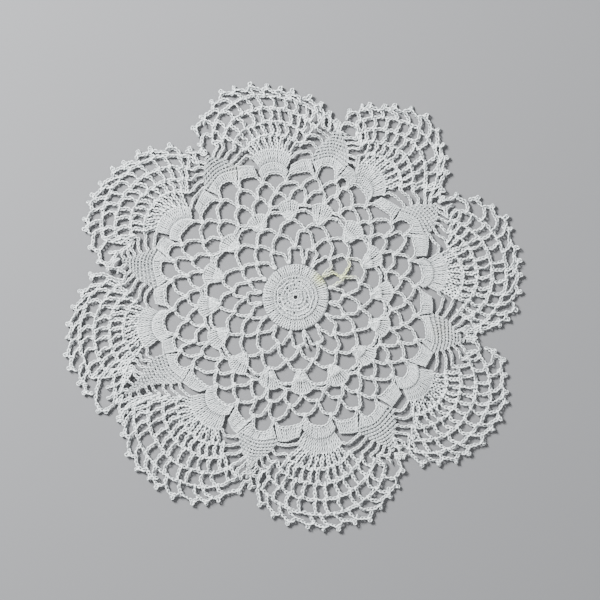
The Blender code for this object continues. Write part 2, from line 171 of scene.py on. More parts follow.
@dataclass(frozen=True)
class Loop:
    """A loop of chain in the plan: its two legs, each from its foot up to the loop's tip."""

    first: Line
    second: Line

    @classmethod
    def over(cls, first: complex, tip: complex, second: complex, bend: Bend = Bend()) -> "Loop":
        """The loop that stands on two feet and reaches up to a tip.

        Args:
            first: its first foot.
            tip: the middle of its top.
            second: its second foot.
            bend: how it bends on the way.

        Returns:
            The loop.
        """
        along = unit(second - first)
        upward = 1j * along
        if ((tip - (first + second) / 2) * upward.conjugate()).real < 0:
            upward = -upward
        legs = []
        for foot, towards in ((first, along), (second, -along)):
            length = abs(tip - foot)
            out = unit(upward * bend.bulge + unit(tip - foot) * (1.0 - bend.bulge))
            legs.append(curve_through(foot, foot + bend.foot * length * out,
                                      tip - bend.top * length * towards, tip))
        return cls(*legs)

    @classmethod
    def around(cls, feet: list[complex], tips: list[complex], bend: Bend = Bend()) -> "list[Loop]":
        """A round of loops, each from its own foot over its tip to the next foot."""
        return [cls.over(foot, tip, after, bend)
                for foot, tip, after in zip(feet, tips, [*feet[1:], feet[0]])]

    @property
    def line(self) -> Line:
        """The whole loop, foot to foot."""
        return np.concatenate([self.first, self.second[-2::-1]])

    @property
    def tip(self) -> complex:
        """The middle of the loop."""
        return self.first[-1]

    @property
    def along(self) -> complex:
        """The direction of the loop at its tip."""
        return unit(self.first[-1] - self.first[-3])


# --- the plan: tables ------------------------------------------------------------------------
@dataclass(frozen=True)
class Spoke:
    """One of the sixteen spokes of the inner net: angles and radii of its joints."""

    foot: float
    one_at: float
    one_r: float
    two_at: float
    two_r: float
    root_at: float
    root_r: float
    top_at: float
    top_r: float
    gap_at: float
    gap_r: float


SPOKES = tuple(Spoke(*row) for row in (
    (-9, 2.4, 31.0, 12.6, 42.5, 2.4, 49.5, 3.5, 62.9, 15.9, 56.9),
    (16, 23.5, 32.3, 36.8, 41.9, 25.3, 48.4, 27.6, 62.0, 38.8, 58.2),
    (37.6, 48.2, 32.8, 60.0, 42.5, 48.5, 48.4, 49.4, 62.3, 62.4, 56.9),
    (62, 70.0, 33.0, 82.4, 43.9, 72.6, 49.0, 72.9, 62.9, 84.7, 56.6),
    (77, 90.6, 32.8, 105.0, 41.4, 94.4, 50.1, 94.4, 62.9, 105.6, 56.6),
    (101, 116.5, 32.2, 127.6, 40.3, 117.0, 47.9, 116.8, 59.0, 128.5, 55.5),
    (125, 138.8, 32.2, 151.8, 38.7, 140.0, 48.4, 141.5, 60.1, 153.5, 57.1),
    (150, 161.8, 31.0, 174.0, 40.6, 164.7, 48.4, 164.7, 61.8, 175.3, 58.8),
    (172, 181.2, 31.7, 193.2, 40.3, 185.0, 49.5, 185.6, 63.6, 197.0, 57.4),
    (190, 201.8, 30.9, 214.7, 41.4, 206.5, 49.0, 207.6, 62.9, 219.4, 57.4),
    (214, 223.0, 32.2, 238.2, 40.9, 228.8, 49.0, 230.0, 62.3, 242.4, 56.0),
    (235, 249.4, 31.7, 261.8, 40.9, 249.4, 49.0, 253.0, 61.8, 264.0, 56.6),
    (262, 274.0, 32.3, 285.0, 41.9, 273.5, 47.9, 274.0, 62.9, 287.0, 58.8),
    (284, 295.9, 33.3, 307.0, 43.6, 297.0, 50.1, 298.2, 63.9, 309.4, 59.3),
    (307, 317.6, 33.8, 330.3, 43.0, 318.8, 50.6, 320.6, 64.5, 331.2, 58.8),
    (330.6, 340.0, 32.8, 350.6, 41.9, 341.2, 51.2, 341.5, 63.9, 353.0, 58.8),
))


@dataclass(frozen=True)
class OuterLoop:
    """One of the thirty-two loops of the outer net: two joints and the arch that follows."""

    six_at: float
    six_r: float
    seven_at: float
    seven_r: float
    arch_at: float
    arch_r: float


LOOPS = tuple(OuterLoop(*row) for row in (
    (10.3, 69.0, 17.9, 77.7, 26.2, 85.0), (23.5, 69.5, 29.7, 80.9, 33.0, 88.5),
    (34.1, 69.5, 37.6, 78.3, 46.0, 80.3), (45.3, 67.9, 52.4, 73.9, 60.0, 82.7),
    (58.2, 67.9, 65.0, 77.7, 67.6, 83.9), (68.2, 69.8, 70.9, 78.8, 75.9, 88.5),
    (76.8, 70.7, 80.6, 78.3, 86.5, 82.2), (87.0, 71.2, 94.5, 74.6, 100.0, 82.2),
    (100.6, 68.5, 106.2, 76.5, 113.5, 84.8), (111.2, 67.9, 117.4, 77.7, 121.8, 88.1),
    (122.4, 68.5, 127.6, 78.3, 134.0, 82.9), (135.3, 68.5, 141.2, 76.5, 150.0, 85.2),
    (149.0, 69.0, 155.3, 80.4, 160.0, 88.1), (159.7, 70.7, 163.5, 81.5, 166.5, 90.4),
    (168.8, 70.7, 172.4, 80.4, 179.4, 84.8), (179.7, 70.0, 185.6, 78.8, 191.8, 87.4),
    (191.8, 70.7, 197.6, 80.4, 201.8, 84.8), (203.5, 70.7, 205.0, 82.0, 210.0, 88.1),
    (211.2, 70.7, 213.5, 79.3, 219.5, 82.9), (223.0, 69.5, 228.2, 76.5, 234.7, 83.3),
    (235.3, 69.0, 241.2, 76.5, 247.0, 86.6), (248.8, 70.0, 250.6, 81.5, 255.3, 90.7),
    (256.5, 69.5, 260.0, 80.4, 265.9, 84.8), (267.0, 70.0, 274.7, 76.5, 280.9, 85.5),
    (282.0, 68.5, 287.0, 79.3, 293.5, 87.1), (293.5, 70.7, 298.8, 82.3, 302.4, 91.2),
    (303.5, 72.8, 308.5, 81.5, 314.7, 84.7), (313.8, 71.8, 320.9, 80.4, 324.7, 88.1),
    (325.3, 72.3, 330.0, 79.9, 335.3, 87.9), (336.5, 72.8, 340.3, 82.6, 343.5, 89.0),
    (345.9, 70.7, 351.2, 77.7, 355.9, 82.2), (358.2, 71.2, 5.3, 76.9, 11.2, 84.2),
))


def places(rows: tuple[Spoke, ...] | tuple[OuterLoop, ...], name: str) -> list[complex]:
    """The places of one kind of joint, from the rows of a table."""
    return [place(getattr(row, f"{name}_at"), getattr(row, f"{name}_r")) for row in rows]


@dataclass(frozen=True)
class PetalRow:
    """One petal: its centre, axis, the reach of its rim, and where the edge is drawn in."""

    at: float
    out: float
    axis: float
    rim: float
    peak: float
    first: float
    first_rim: float
    last: float
    last_rim: float
    dent_at: float
    dent: float


PETALS = tuple(PetalRow(*row) for row in (
    (11.2, 75.7, 10.4, 68.9, 0, -48, 57.5, 48, 58.5, 0, 0.0),
    (60.0, 74.1, 50.5, 68.9, -4, -43, 56.6, 50, 46.5, 15, 3.0),
    (100.0, 73.8, 104.2, 67.6, 14, -51, 54.6, 47, 53.5, -18, 4.0),
    (150.0, 76.7, 151.1, 68.9, 12, -57, 53.8, 46, 60.5, -22, 1.5),
    (191.8, 79.3, 198.6, 72.2, 12, -56, 54.5, 37, 70.0, -14, 1.0),
    (234.7, 74.8, 231.3, 75.4, -4, -38, 70.5, 45, 61.5, 15, 1.0),
    (280.9, 77.0, 280.1, 72.8, 4, -52, 62.5, 45, 62.4, -20, 1.0),
    (324.7, 79.3, 326.4, 72.8, 0, -50, 55.5, 53, 54.5, -10, 1.0),
))
BLOCK_LEVEL = 0.355
NET_LEVELS = (0.488, 0.622, 0.765, 0.902)


@dataclass(frozen=True)
class NetRow:
    """The net of one petal, as angles from its axis.

    The tilt is how far the rounds rise towards lower angles, and the lean how far a post's top
    lies beyond its foot. Then come the edges of the block, the posts of the three rounds, at the
    middle of their height, and for each picot the foot of its loop, its tip and the tip's level.
    """

    tilt: float
    lean: float
    block: tuple[float, float]
    one: tuple[float, ...]
    two: tuple[float, ...]
    three: tuple[float, ...]
    picots: tuple[tuple[float, float, float], ...]


NETS = tuple(NetRow(*row) for row in (
    (-0.001, 0.6, (-43, 29),
     (-40.4, -36.2, -31.4, -25, -18.1, -9.6, -3.5, 5, 13.1, 18.2, 25.4),
     (-48.5, -41.9, -35.5, -27.3, -21.9, -13.1, -5.5, 1.9, 11.5, 17.7, 25.8, 33.5, 41.2),
     (-50.8, -45, -39.1, -31.5, -23.5, -15.4, -7.8, -2.8, 7.7, 15.8, 22.3, 31.5, 38.7, 45.5),
     ((-56, -48.8, 1.06), (-48, -39.8, 1.11), (-42, -35.2, 1.13), (-34.2, -28.6, 1.135),
     (-27.7, -19.6, 1.1), (-21.5, -10.8, 1.075), (-10.8, -3.2, 1.07), (-6.9, 4, 1.07),
     (4.5, 14.2, 1.08), (13.5, 20.4, 1.11), (18.6, 29.6, 1.09), (28.1, 38.5, 1.09),
     (38.8, 49.2, 1.06))),
    (-0.001, 1.0, (-44, 34),
     (-37, -29.6, -22.3, -13.8, -6.4, 0.4, 7.3, 14.2, 21.5),
     (-38.1, -28.5, -20.8, -12.3, -4.2, 3.1, 11.2, 20, 26.5, 33.5),
     (-47, -41.2, -32.7, -25, -13.8, -8.1, -0.8, 6.5, 14.6, 22.5, 30, 38),
     ((-51, -45.4, 1.095), (-43, -35.4, 1.065), (-34, -26.9, 1.045), (-27, -20, 1.04),
     (-17.7, -11.9, 1.07), (-10, -2.3, 1.095), (-3, 6.2, 1.09), (4.2, 15, 1.065), (11.2, 20.8, 1.045),
     (20, 29.6, 1.065), (27, 33.1, 1.065), (35, 41.5, 1.09), (41.5, 49, 1.045))),
    (-0.001, 1.6, (-44, 28),
     (-46.2, -36, -25.8, -17.3, -10.4, -2.3, 5.4, 12, 19.2, 26.2),
     (-47.3, -40.8, -34.2, -27, -18, -10.8, -3, 4.6, 13.5, 21.2, 30.8, 36.5),
     (-49, -42.7, -37.7, -29.6, -21.5, -13.5, -3.8, 3.1, 11.2, 18.5, 26.9, 33.5, 41),
     ((-57, -51, 1.095), (-49, -43, 1.08), (-42.3, -34.5, 1.07), (-30.4, -24, 1.065),
     (-23, -16.5, 1.055), (-15.8, -8.8, 1.05), (-5.8, 0.4, 1.055), (0.4, 9.2, 1.055), (7.7, 16, 1.07),
     (15, 23, 1.05), (23.8, 33, 1.06), (32.7, 40.8, 1.135), (39.2, 48, 1.09))),
    (-0.0011, 2.4, (-56, 20),
     (-48.8, -40.4, -32.2, -24.2, -16.5, -9.6, -2.3, 5, 12.7, 19.2, 25.4),
     (-50.8, -42.7, -35, -26.5, -18.1, -10.8, -3.8, 5, 11.5, 19.6, 26.9, 33.5),
     (-53, -42.7, -34.6, -26.2, -18.1, -10.8, -1.9, 5.4, 10.8, 21.5, 28.8, 34.2, 42),
     ((-64, -59, 1.12), (-52.3, -47, 1.1), (-43.5, -35.2, 1.075), (-34.6, -28, 1.08),
     (-25, -18.5, 1.05), (-18, -11.5, 1.07), (-10, -1.5, 1.055), (-2.3, 5.8, 1.065), (5, 10.4, 1.07),
     (11.5, 18.8, 1.07), (19.2, 24.2, 1.07), (24.6, 34.2, 1.05), (34.6, 42.7, 1.045))),
    (0.0, 2.0, (-48, 24),
     (-45.4, -35, -28, -21.2, -13, -5.4, 2.2, 8.5, 16.2, 21.5),
     (-47.7, -39.8, -31.9, -23, -13.8, -6.9, 1.8, 7.8, 14.2, 22.2, 29.6),
     (-49.6, -43, -34.2, -24.2, -15.8, -8.8, -1.5, 6.9, 13.8, 22.3, 29.6),
     ((-62, -57.8, 1.09), (-52.7, -47.7, 1.1), (-43.8, -36.3, 1.05), (-36.2, -26.8, 1.04),
     (-27, -17.7, 1.05), (-18, -10.8, 1.05), (-8.8, -2.2, 1.08), (-2.5, 4.6, 1.08), (6.2, 13.8, 1.06),
     (11.5, 19.2, 1.07), (22.9, 30.4, 1.105), (30.4, 37, 1.045))),
    (0.0, 1.4, (-44, 28),
     (-47.7, -41.2, -32.7, -25.4, -17.3, -11.2, -3.5, 2.7, 10.8, 17.3, 24.6, 31.5),
     (-50, -44.2, -36.9, -29.6, -21.5, -13.8, -7.3, 0.4, 8.5, 15.4, 22.7, 30.8, 38.8),
     (-47.7, -38, -31.9, -25.8, -16.2, -8.5, -1.9, 6.5, 11.9, 20.8, 27.3, 36.8, 45),
     ((-44, -36, 1.065), (-38, -29.2, 1.05), (-27, -19.2, 1.07), (-19.2, -10.8, 1.07),
     (-11.2, -3.5, 1.05), (-4.6, 1.5, 1.07), (3.5, 10.2, 1.09), (11.2, 20.4, 1.095), (19.6, 26.8, 1.09),
     (24.6, 33, 1.075), (32.7, 44.6, 1.085))),
    (-0.0009, 0.8, (-45, 31),
     (-48.8, -39.2, -33, -25.8, -17.7, -10.8, -1.5, 5.8, 13, 20.4, 28.5),
     (-52, -43.8, -36.9, -29.8, -21.2, -12.9, -5.2, 3.5, 11.2, 19, 26.5, 33.5, 40.8),
     (-54.6, -47.7, -39.4, -30.6, -22.5, -12.5, -5.8, 3.1, 11.2, 16.5, 25.2, 30.8, 40.4, 48.5),
     ((-58, -53.5, 1.075), (-48.5, -43, 1.095), (-41.2, -34, 1.095), (-32.3, -25.4, 1.09),
     (-26.2, -15, 1.065), (-13.8, -7.3, 1.075), (-7.7, 0, 1.075), (0.4, 8.8, 1.055), (8.1, 16, 1.09),
     (14.6, 24.2, 1.065), (21.9, 30.8, 1.06), (28.9, 37.7, 1.085), (37.3, 46.2, 1.095))),
    (-0.0003, 1.2, (-36, 30),
     (-39.6, -33, -25, -17.7, -11.5, -4.6, 2.7, 8.3, 15, 22.3, 28.5),
     (-39.2, -30.9, -23.2, -15.5, -9, -1, 6, 12.3, 18.5, 26.5, 34.8, 41.5),
     (-49.2, -43.5, -35.4, -26.5, -18.8, -10.8, -3.6, 4.5, 10, 16.3, 23.3, 31.2, 39.4),
     ((-56, -51, 1.08), (-46.2, -40.8, 1.085), (-37, -31.7, 1.06), (-29, -23, 1.075),
     (-22.3, -16.2, 1.065), (-15, -7.3, 1.08), (-6.5, 1.3, 1.065), (0.8, 7.7, 1.075),
     (8.5, 16.4, 1.085), (14.2, 21.5, 1.075), (20.8, 29.6, 1.08), (29.6, 38, 1.125), (36.2, 43.5, 1.09),
     (45.4, 54.2, 1.05))),
))


@dataclass(frozen=True)
class SideRow:
    """One side of a wedge: the top of the patch there, and the five chains that reach the petal.

    A place is how far out it lies from the top of the wedge's arch, and how far to the side. The
    patch has its corner at the wedge, its middle and its far end. A chain has its place on the
    wedge's edge, its middle, and its hem, the place where the net begins.
    """

    patch: tuple[float, float, float, float, float, float]
    chains: tuple[tuple[float, float, float, float, float, float], ...]


@dataclass(frozen=True)
class WedgeRow:
    """One wedge between two petals: the top of its arch, its tip and its sides."""

    arch_at: float
    arch_r: float
    tip: tuple[float, float]
    high: SideRow
    low: SideRow


WEDGES = tuple(WedgeRow(at, out, tip, *(SideRow(side[0], side[1:]) for side in sides))
               for at, out, tip, *sides in (
    (33.0, 87.5, (24.0, 1.0),
     ((0.8, 11, -2.2, 17, -6, 24), (3.6, 10.5, 3.8, 15, 0.5, 24), (8, 9.3, 9.5, 13.5, 7.5, 20.5),
     (11.8, 7.3, 14.3, 11, 13.2, 16), (15.2, 4.8, 18.3, 8.3, 19.5, 11.5), (18, 3, 20.5, 5.3, 22, 8)),
     ((6.3, 12.5, 2.8, 18.5, -2, 23.5), (7.3, 12.3, 7.3, 17, 8.5, 23.5), (12, 11.5, 12, 16, 14.5, 21.5),
     (15.5, 9.5, 16.8, 12.5, 17.5, 17.5), (18, 6.3, 20, 9.5, 21.5, 13.5),
     (20.5, 4, 22.5, 7.5, 24, 11))),
    (75.9, 87.5, (26.3, 1.5),
     ((1.5, 12, -0.5, 18, -5.5, 23.5), (4, 11.3, 6.4, 15, 3.5, 22.5), (9.5, 10, 12.3, 14, 11, 19),
     (14.5, 7.3, 17, 11, 17.3, 15), (17.8, 4.3, 20, 8, 21, 12), (21, 2.8, 23.3, 6, 24, 10)),
     ((3, 12, 1, 16.5, -3, 18.5), (6, 12, 6, 13.5, 6, 15.5), (10.5, 11, 10, 13.5, 10, 16.5),
     (14.3, 9.5, 15.5, 13, 16, 17), (17, 7.8, 18.8, 11, 18.8, 16), (20.5, 5.5, 21.7, 9, 21.5, 13.5))),
    (121.8, 87.1, (22.5, 2.0),
     ((3, 13.5, 0.8, 18, -4, 25), (4.5, 12.3, 4.2, 16, 1.5, 24), (8.5, 11, 9.2, 14.5, 7, 21),
     (12.3, 8.8, 14, 12.5, 13, 17), (15.5, 6, 18, 9, 18, 12.5), (17.5, 4, 20, 6, 21, 9.5)),
     ((4.5, 12.3, 2, 17.5, -1, 21.5), (6, 12, 6, 15, 8, 21.5), (9.7, 10.3, 9.8, 14, 12, 20),
     (13.3, 8, 15.3, 12, 15.5, 17.5), (16.3, 5, 18.8, 8.5, 20.5, 12), (18.8, 2.5, 21.5, 6, 23, 9))),
    (166.5, 89.4, (27.5, 2.5),
     ((0.5, 16, 0, 20, -2.5, 25.5), (3, 15.5, 5.5, 20, 5, 26), (7.5, 14.5, 10, 18, 9, 24),
     (13, 12.5, 14.3, 16, 15.5, 21), (16, 10, 18, 13.5, 20, 17.5), (18.5, 8, 21, 11.5, 21.5, 16)),
     ((5.7, 9.5, 5, 14, 2.5, 18), (7, 8.5, 8.3, 13.5, 8.5, 18.5), (10.5, 7, 13.5, 11, 14.5, 16.5),
     (14.7, 4.3, 18, 8.5, 18.5, 14), (18, 2, 21.5, 6, 21.5, 11), (20.5, -0.3, 23.5, 3, 23, 9))),
    (210.0, 87.1, (42.0, -1.0),
     ((3.7, 11, 1, 17, -3, 22), (6, 10.5, 7, 15, 4, 22), (11.3, 8.5, 12.3, 12, 9.5, 19.5),
     (15.3, 6, 17.2, 9, 15.5, 15), (22, 2, 22.3, 6, 20.5, 11), (26, 1.5, 26.6, 5, 25, 9)),
     ((5.5, 11, 3.8, 15, 2, 18.5), (13.5, 12.3, 15, 15.5, 13.5, 18), (15, 11.3, 19.5, 14.5, 19, 18.5),
     (20.5, 9.5, 22.5, 12.5, 23, 17), (24, 7, 26.5, 10, 26.5, 14), (27, 5, 28.5, 8, 28, 12))),
    (255.3, 89.7, (34.0, -1.0),
     ((3, 12.5, 1.8, 18, -3.5, 25.5), (5.3, 12.5, 5.3, 16.5, 2.5, 25), (9.8, 10.5, 12, 13.5, 10, 20),
     (14, 7.8, 17.3, 11, 16, 16), (17, 4.7, 21.3, 8, 22, 12), (19, 1.5, 23.3, 4, 24.5, 8)),
     ((5.2, 14.3, 3, 18, -2, 22), (6.5, 13, 8.3, 17, 8.5, 22), (11.3, 11, 13.8, 16, 15, 21.5),
     (15.7, 8.7, 19, 13, 20, 18), (18.5, 5.5, 22, 8, 25.5, 12), (21, 3.5, 24, 5, 28, 8.5))),
    (302.4, 90.2, (30.0, 0.0),
     ((3, 14.5, 1.5, 19, -1, 24.5), (5.5, 14.3, 8.8, 19, 6, 25), (10, 13, 14.5, 18, 14, 23),
     (14.8, 11, 19, 15, 20, 18.5), (18.3, 7.3, 21.5, 11, 23.5, 14), (20.8, 4.3, 23.5, 6.5, 26, 8.5)),
     ((5, 12, 3, 17, -0.5, 23), (6.8, 11.7, 7.8, 17, 8, 23.5), (11.3, 10, 13.5, 16, 13.5, 22),
     (15.3, 7.7, 17.7, 12.5, 18, 18), (19, 5, 21.5, 8.5, 22.5, 14), (22, 2.7, 24.5, 6, 25.5, 11))),
    (343.5, 88.0, (27.0, 4.0),
     ((-0.5, 15, -1.5, 20, -4, 25.5), (2.7, 15, 4.3, 21, 4, 27), (7.7, 15, 9.5, 20, 10.5, 26.5),
     (12.3, 13, 15, 18, 17, 22), (15.8, 10.3, 19.3, 14, 20.5, 18), (18.8, 8.5, 22, 11.5, 24, 13.5)),
     ((7.5, 9, 6.5, 14, 5.2, 19.5), (10, 8.3, 12, 14, 12.5, 20), (13.7, 6, 17.3, 11.5, 18.5, 17),
     (16, 3.5, 20, 7.5, 22, 14), (19, 1, 23.5, 3.5, 26, 8), (21.5, -1.5, 25, 0, 28, 3))),
))


@dataclass(frozen=True)
class Pucker:
    """A place where the crochet stands up softly off the surface."""

    at: float
    out: float
    reach: float
    height: float


PUCKERS = (
    Pucker(68.0, 90.0, 13.0, 2.6),
    Pucker(84.0, 112.0, 13.0, 1.8),
    Pucker(169.0, 120.0, 12.0, 2.0),
    Pucker(207.0, 116.0, 15.0, 2.6),
    Pucker(254.0, 116.0, 13.0, 2.0),
    Pucker(324.8, 98.0, 14.0, 2.4),
)


# --- finishes --------------------------------------------------------------------------------
class Value:
    """A number that varies over a surface: the output of a node, with Python's operators."""

    def __init__(self, graph: "Graph", socket: bpy.types.NodeSocket) -> None:
        """Wraps an output socket of one of the graph's nodes."""
        self.graph = graph
        self.socket = socket

    def _math(self, operation: str, *operands: "Value | float") -> "Value":
        """Adds a Math node.

        Args:
            operation: the Math node's operation.
            operands: its inputs, in order.

        Returns:
            The node's result.
        """
        inputs = dict(enumerate(operands))
        node = self.graph.add("ShaderNodeMath", {"operation": operation}, inputs)
        return Value(self.graph, node.outputs[0])

    def __add__(self, other: "Value | float") -> "Value":
        """This value plus another."""
        return self._math("ADD", self, other)

    __radd__ = __add__

    def __sub__(self, other: "Value | float") -> "Value":
        """This value less another."""
        return self._math("SUBTRACT", self, other)

    def __rsub__(self, other: "Value | float") -> "Value":
        """Another value less this one."""
        return self._math("SUBTRACT", other, self)

    def __mul__(self, other: "Value | float") -> "Value":
        """This value times another."""
        return self._math("MULTIPLY", self, other)

    __rmul__ = __mul__

    def __truediv__(self, other: "Value | float") -> "Value":
        """This value divided by another."""
        return self._math("DIVIDE", self, other)

    def sine(self) -> "Value":
        """The sine of this value, in radians."""
        return self._math("SINE", self)

    def clamped(self) -> "Value":
        """This value kept between zero and one."""
        return self._math("MINIMUM", self._math("MAXIMUM", self, 0.0), 1.0)


class Graph:
    """The nodes of one material."""

    def __init__(self, name: str) -> None:
        """Starts a material with an empty node tree.

        Args:
            name: the material's name.
        """
        self.material = bpy.data.materials.new(name)
        self.material.use_nodes = True
        self.tree = self.material.node_tree
        self.tree.nodes.clear()

    def add(self, kind: str, settings: dict, inputs: dict) -> bpy.types.Node:
        """Adds a node.

        Args:
            kind: the node's type.
            settings: its properties, set first.
            inputs: its sockets' values, or the values and sockets that feed them.

        Returns:
            The node.
        """
        node = self.tree.nodes.new(kind)
        for name, setting in settings.items():
            setattr(node, name, setting)
        for name, value in inputs.items():
            if isinstance(value, Value):
                value = value.socket
            if isinstance(value, bpy.types.NodeSocket):
                self.tree.links.new(value, node.inputs[name])
            else:
                node.inputs[name].default_value = value
        return node

    def mix(self, share: "Value | float", first: object, second: object) -> bpy.types.NodeSocket:
        """A mix of two colours, each a tuple or a socket."""
        node = self.add("ShaderNodeMix", {"data_type": "RGBA"}, {0: share, 6: first, 7: second})
        return node.outputs[2]

    def finish(self, shader: bpy.types.Node) -> bpy.types.Material:
        """Gives the material its surface shader and returns it."""
        self.add("ShaderNodeOutputMaterial", {}, {"Surface": shader.outputs[0]})
        return self.material


@dataclass(frozen=True)
class Stain:
    """A soft stain in the cotton: its place in the plan, how far it reaches and its tint."""

    x: float
    y: float
    reach: float
    tint: tuple[float, float, float, float]
    strength: float


YELLOWED = (0.70, 0.76, 0.28, 1.0)
BEIGE = (0.70, 0.66, 0.54, 1.0)
STAINS = (
    Stain(16.5, 12.5, 9.5, YELLOWED, 1.0),
    Stain(27.0, 14.5, 11.5, YELLOWED, 1.0),
    Stain(35.0, 18.0, 10.5, YELLOWED, 1.0),
    Stain(-39.5, 81.4, 9.0, BEIGE, 0.35),
    Stain(93.8, -21.3, 12.0, BEIGE, 0.35),
)


@dataclass(frozen=True)
class Mottle:
    """Soft noise: how often it varies in a metre, its finer layers, and how strongly it shows."""

    scale: float
    detail: float
    strength: float = 1.0


@dataclass(frozen=True)
class CottonFinish:
    """Bleached crochet cotton: cool white, twisted from plies, a little yellowed in places.

    A thread is darkened towards a grey as painted shade between the threads: fully where it lies as low
    in its own stitch as the bottom, and not at all where it lies as high as the top.
    """

    name: str = "crochet_cotton"
    light: tuple[float, float, float, float] = (0.89, 0.93, 0.93, 1.0)
    dull: tuple[float, float, float, float] = (0.545, 0.585, 0.60, 1.0)
    # painted shade: the grey that threads lying low in their stitch are darkened towards
    painted_shade: tuple[float, float, float, float] = (0.22, 0.235, 0.245, 1.0)
    mean_light: float = 0.66
    top: float = 1.46
    bottom: float = 0.60
    roughness: float = 0.82
    roughness_range: float = 0.16
    plies: int = 3
    turns: int = 9
    ply_height: float = 0.7
    fibre_height: float = 0.5
    relief: float = 0.08 * MM
    relief_strength: float = 0.55
    clouds: Mottle = Mottle(55.0, 2.0, 0.9)
    grain: Mottle = Mottle(620.0, 2.0, 2.6)
    fray: Mottle = Mottle(260.0, 3.0, 1.2)
    fibres: Mottle = Mottle(5200.0, 2.0)
    stain_fade: float = 1.6
    stains: tuple[Stain, ...] = STAINS

    def build(self) -> bpy.types.Material:
        """Makes the material.

        Returns:
            The material.
        """
        graph = Graph(self.name)
        where = graph.add("ShaderNodeTexCoord", {}, {})
        spot, thread = where.outputs["Object"], where.outputs["UV"]
        blotches = self._noise(graph, spot, self.clouds) + self._noise(graph, spot, self.grain)
        colour = graph.mix((blotches + self.mean_light).clamped(), self.dull, self.light)
        fray = self._noise(graph, spot, self.fray)
        for stain in self.stains:
            colour = graph.mix(self._mask(graph, spot, stain, fray), colour, stain.tint)
        # Painted shade: threads that lie low in their own stitch, where shade falls between them, are
        # darkened towards a grey.
        height = graph.add("ShaderNodeAttribute", {"attribute_name": LIFT}, {})
        lift = Value(graph, height.outputs["Fac"])
        free_of_painted_shade = ((lift - self.bottom) / (self.top - self.bottom)).clamped()
        colour = graph.mix(free_of_painted_shade, self.painted_shade, colour)
        fibre = self._noise(graph, spot, self.fibres)
        relief = self._twist(graph, thread) * self.ply_height + fibre * self.fibre_height
        bump = graph.add("ShaderNodeBump", {}, {
            "Strength": self.relief_strength, "Distance": self.relief, "Height": relief})
        rough = fibre * self.roughness_range + self.roughness
        shader = graph.add("ShaderNodeBsdfPrincipled", {}, {
            "Base Color": colour, "Roughness": rough, "Normal": bump.outputs[0],
            "Sheen Weight": 0.1, "Sheen Roughness": 0.5, "Specular IOR Level": 0.3})
        return graph.finish(shader)

    def _noise(self, graph: Graph, spot: bpy.types.NodeSocket, mottle: Mottle) -> Value:
        """Soft noise over the doily, about nought.

        Args:
            graph: the material's nodes.
            spot: the coordinates to read.
            mottle: the kind of noise.

        Returns:
            The noise.
        """
        inputs = {"Vector": spot, "Scale": mottle.scale, "Detail": mottle.detail}
        noise = graph.add("ShaderNodeTexNoise", {}, inputs)
        return (Value(graph, noise.outputs[0]) - 0.5) * mottle.strength

    def _twist(self, graph: Graph, thread: bpy.types.NodeSocket) -> Value:
        """The plies that wind round the thread.

        Args:
            graph: the material's nodes.
            thread: the coordinates along and round the thread.

        Returns:
            Their height, from nought to one.
        """
        parts = graph.add("ShaderNodeSeparateXYZ", {}, {0: thread})
        along, around = (Value(graph, parts.outputs[number]) for number in (0, 1))
        phase = (along * self.turns + around * self.plies) * (2 * math.pi)
        return phase.sine() * 0.5 + 0.5

    def _mask(self, graph: Graph, spot: bpy.types.NodeSocket, stain: Stain, fray: Value) -> Value:
        """Where a stain shows.

        Args:
            graph: the material's nodes.
            spot: the coordinates to read.
            stain: the stain.
            fray: the noise that frays its edge.

        Returns:
            How strongly it shows, from nought to one.
        """
        centre = (stain.x * MM, stain.y * MM, 0.0)
        gap = graph.add("ShaderNodeVectorMath", {"operation": "DISTANCE"}, {0: spot, 1: centre})
        near = 1.0 - Value(graph, gap.outputs["Value"]) / (stain.reach * MM)
        return (near * self.stain_fade + fray).clamped() * near.clamped() * stain.strength


@dataclass(frozen=True)
class FloorFinish:
    """A plain pale floor."""

    name: str = "plain_floor"
    colour: tuple[float, float, float, float] = (0.20, 0.203, 0.21, 1.0)

    def build(self) -> bpy.types.Material:
        """Makes the material.

        Returns:
            The material.
        """
        graph = Graph(self.name)
        return graph.finish(graph.add("ShaderNodeBsdfPrincipled", {}, {
            "Base Color": self.colour, "Roughness": 0.9, "Specular IOR Level": 0.1}))


# --- stitches --------------------------------------------------------------------------------
class Stitch:
    """A kind of stitch, modelled once from a closed ring of thread.

    In the model x runs along the work, from 0 to the pitch, y across it, and z up, all in
    millimetres.
    """

    def __init__(self, pitch: float, ring: list[tuple[float, float, float]],
                 plump: int = 0) -> None:
        """Models the stitch.

        Args:
            pitch: how far along the work one stitch reaches.
            ring: the places that its closed ring of thread passes, eight or sixteen of them.
            plump: how finely the thread is rounded.
        """
        self.pitch = pitch
        mesh = self._thread(ring, plump)
        self.points = np.array([vertex.co for vertex in mesh.vertices])
        self.quads = np.array([face.vertices for face in mesh.polygons])
        self.threads = np.array([corner.uv for corner in mesh.uv_layers[0].data])
        bpy.data.meshes.remove(mesh)

    @staticmethod
    def _thread(ring: list[tuple[float, float, float]], plump: int) -> bpy.types.Mesh:
        """Bends a ring of thread through some places and makes it a mesh.

        Args:
            ring: the places, eight or sixteen of them.
            plump: how finely the thread is rounded.

        Returns:
            The mesh.
        """
        bpy.ops.object.select_all(action="DESELECT")
        bpy.ops.curve.primitive_nurbs_circle_add(location=(0.0, 0.0, 0.0))
        bpy.ops.object.mode_set(mode="EDIT")
        bpy.ops.curve.select_all(action="SELECT")
        bpy.ops.curve.spline_type_set(type="POLY")
        if len(ring) > CIRCLE_PLACES:
            bpy.ops.curve.subdivide()
        bpy.ops.object.mode_set(mode="OBJECT")
        made = bpy.context.object
        for point, spot in zip(made.data.splines[0].points, ring):
            point.co = (*spot, 1.0)
        made.data.bevel_depth = THREAD / 2
        made.data.bevel_resolution = plump
        bpy.ops.object.convert(target="MESH")
        mesh = made.data
        bpy.data.objects.remove(made)
        return mesh


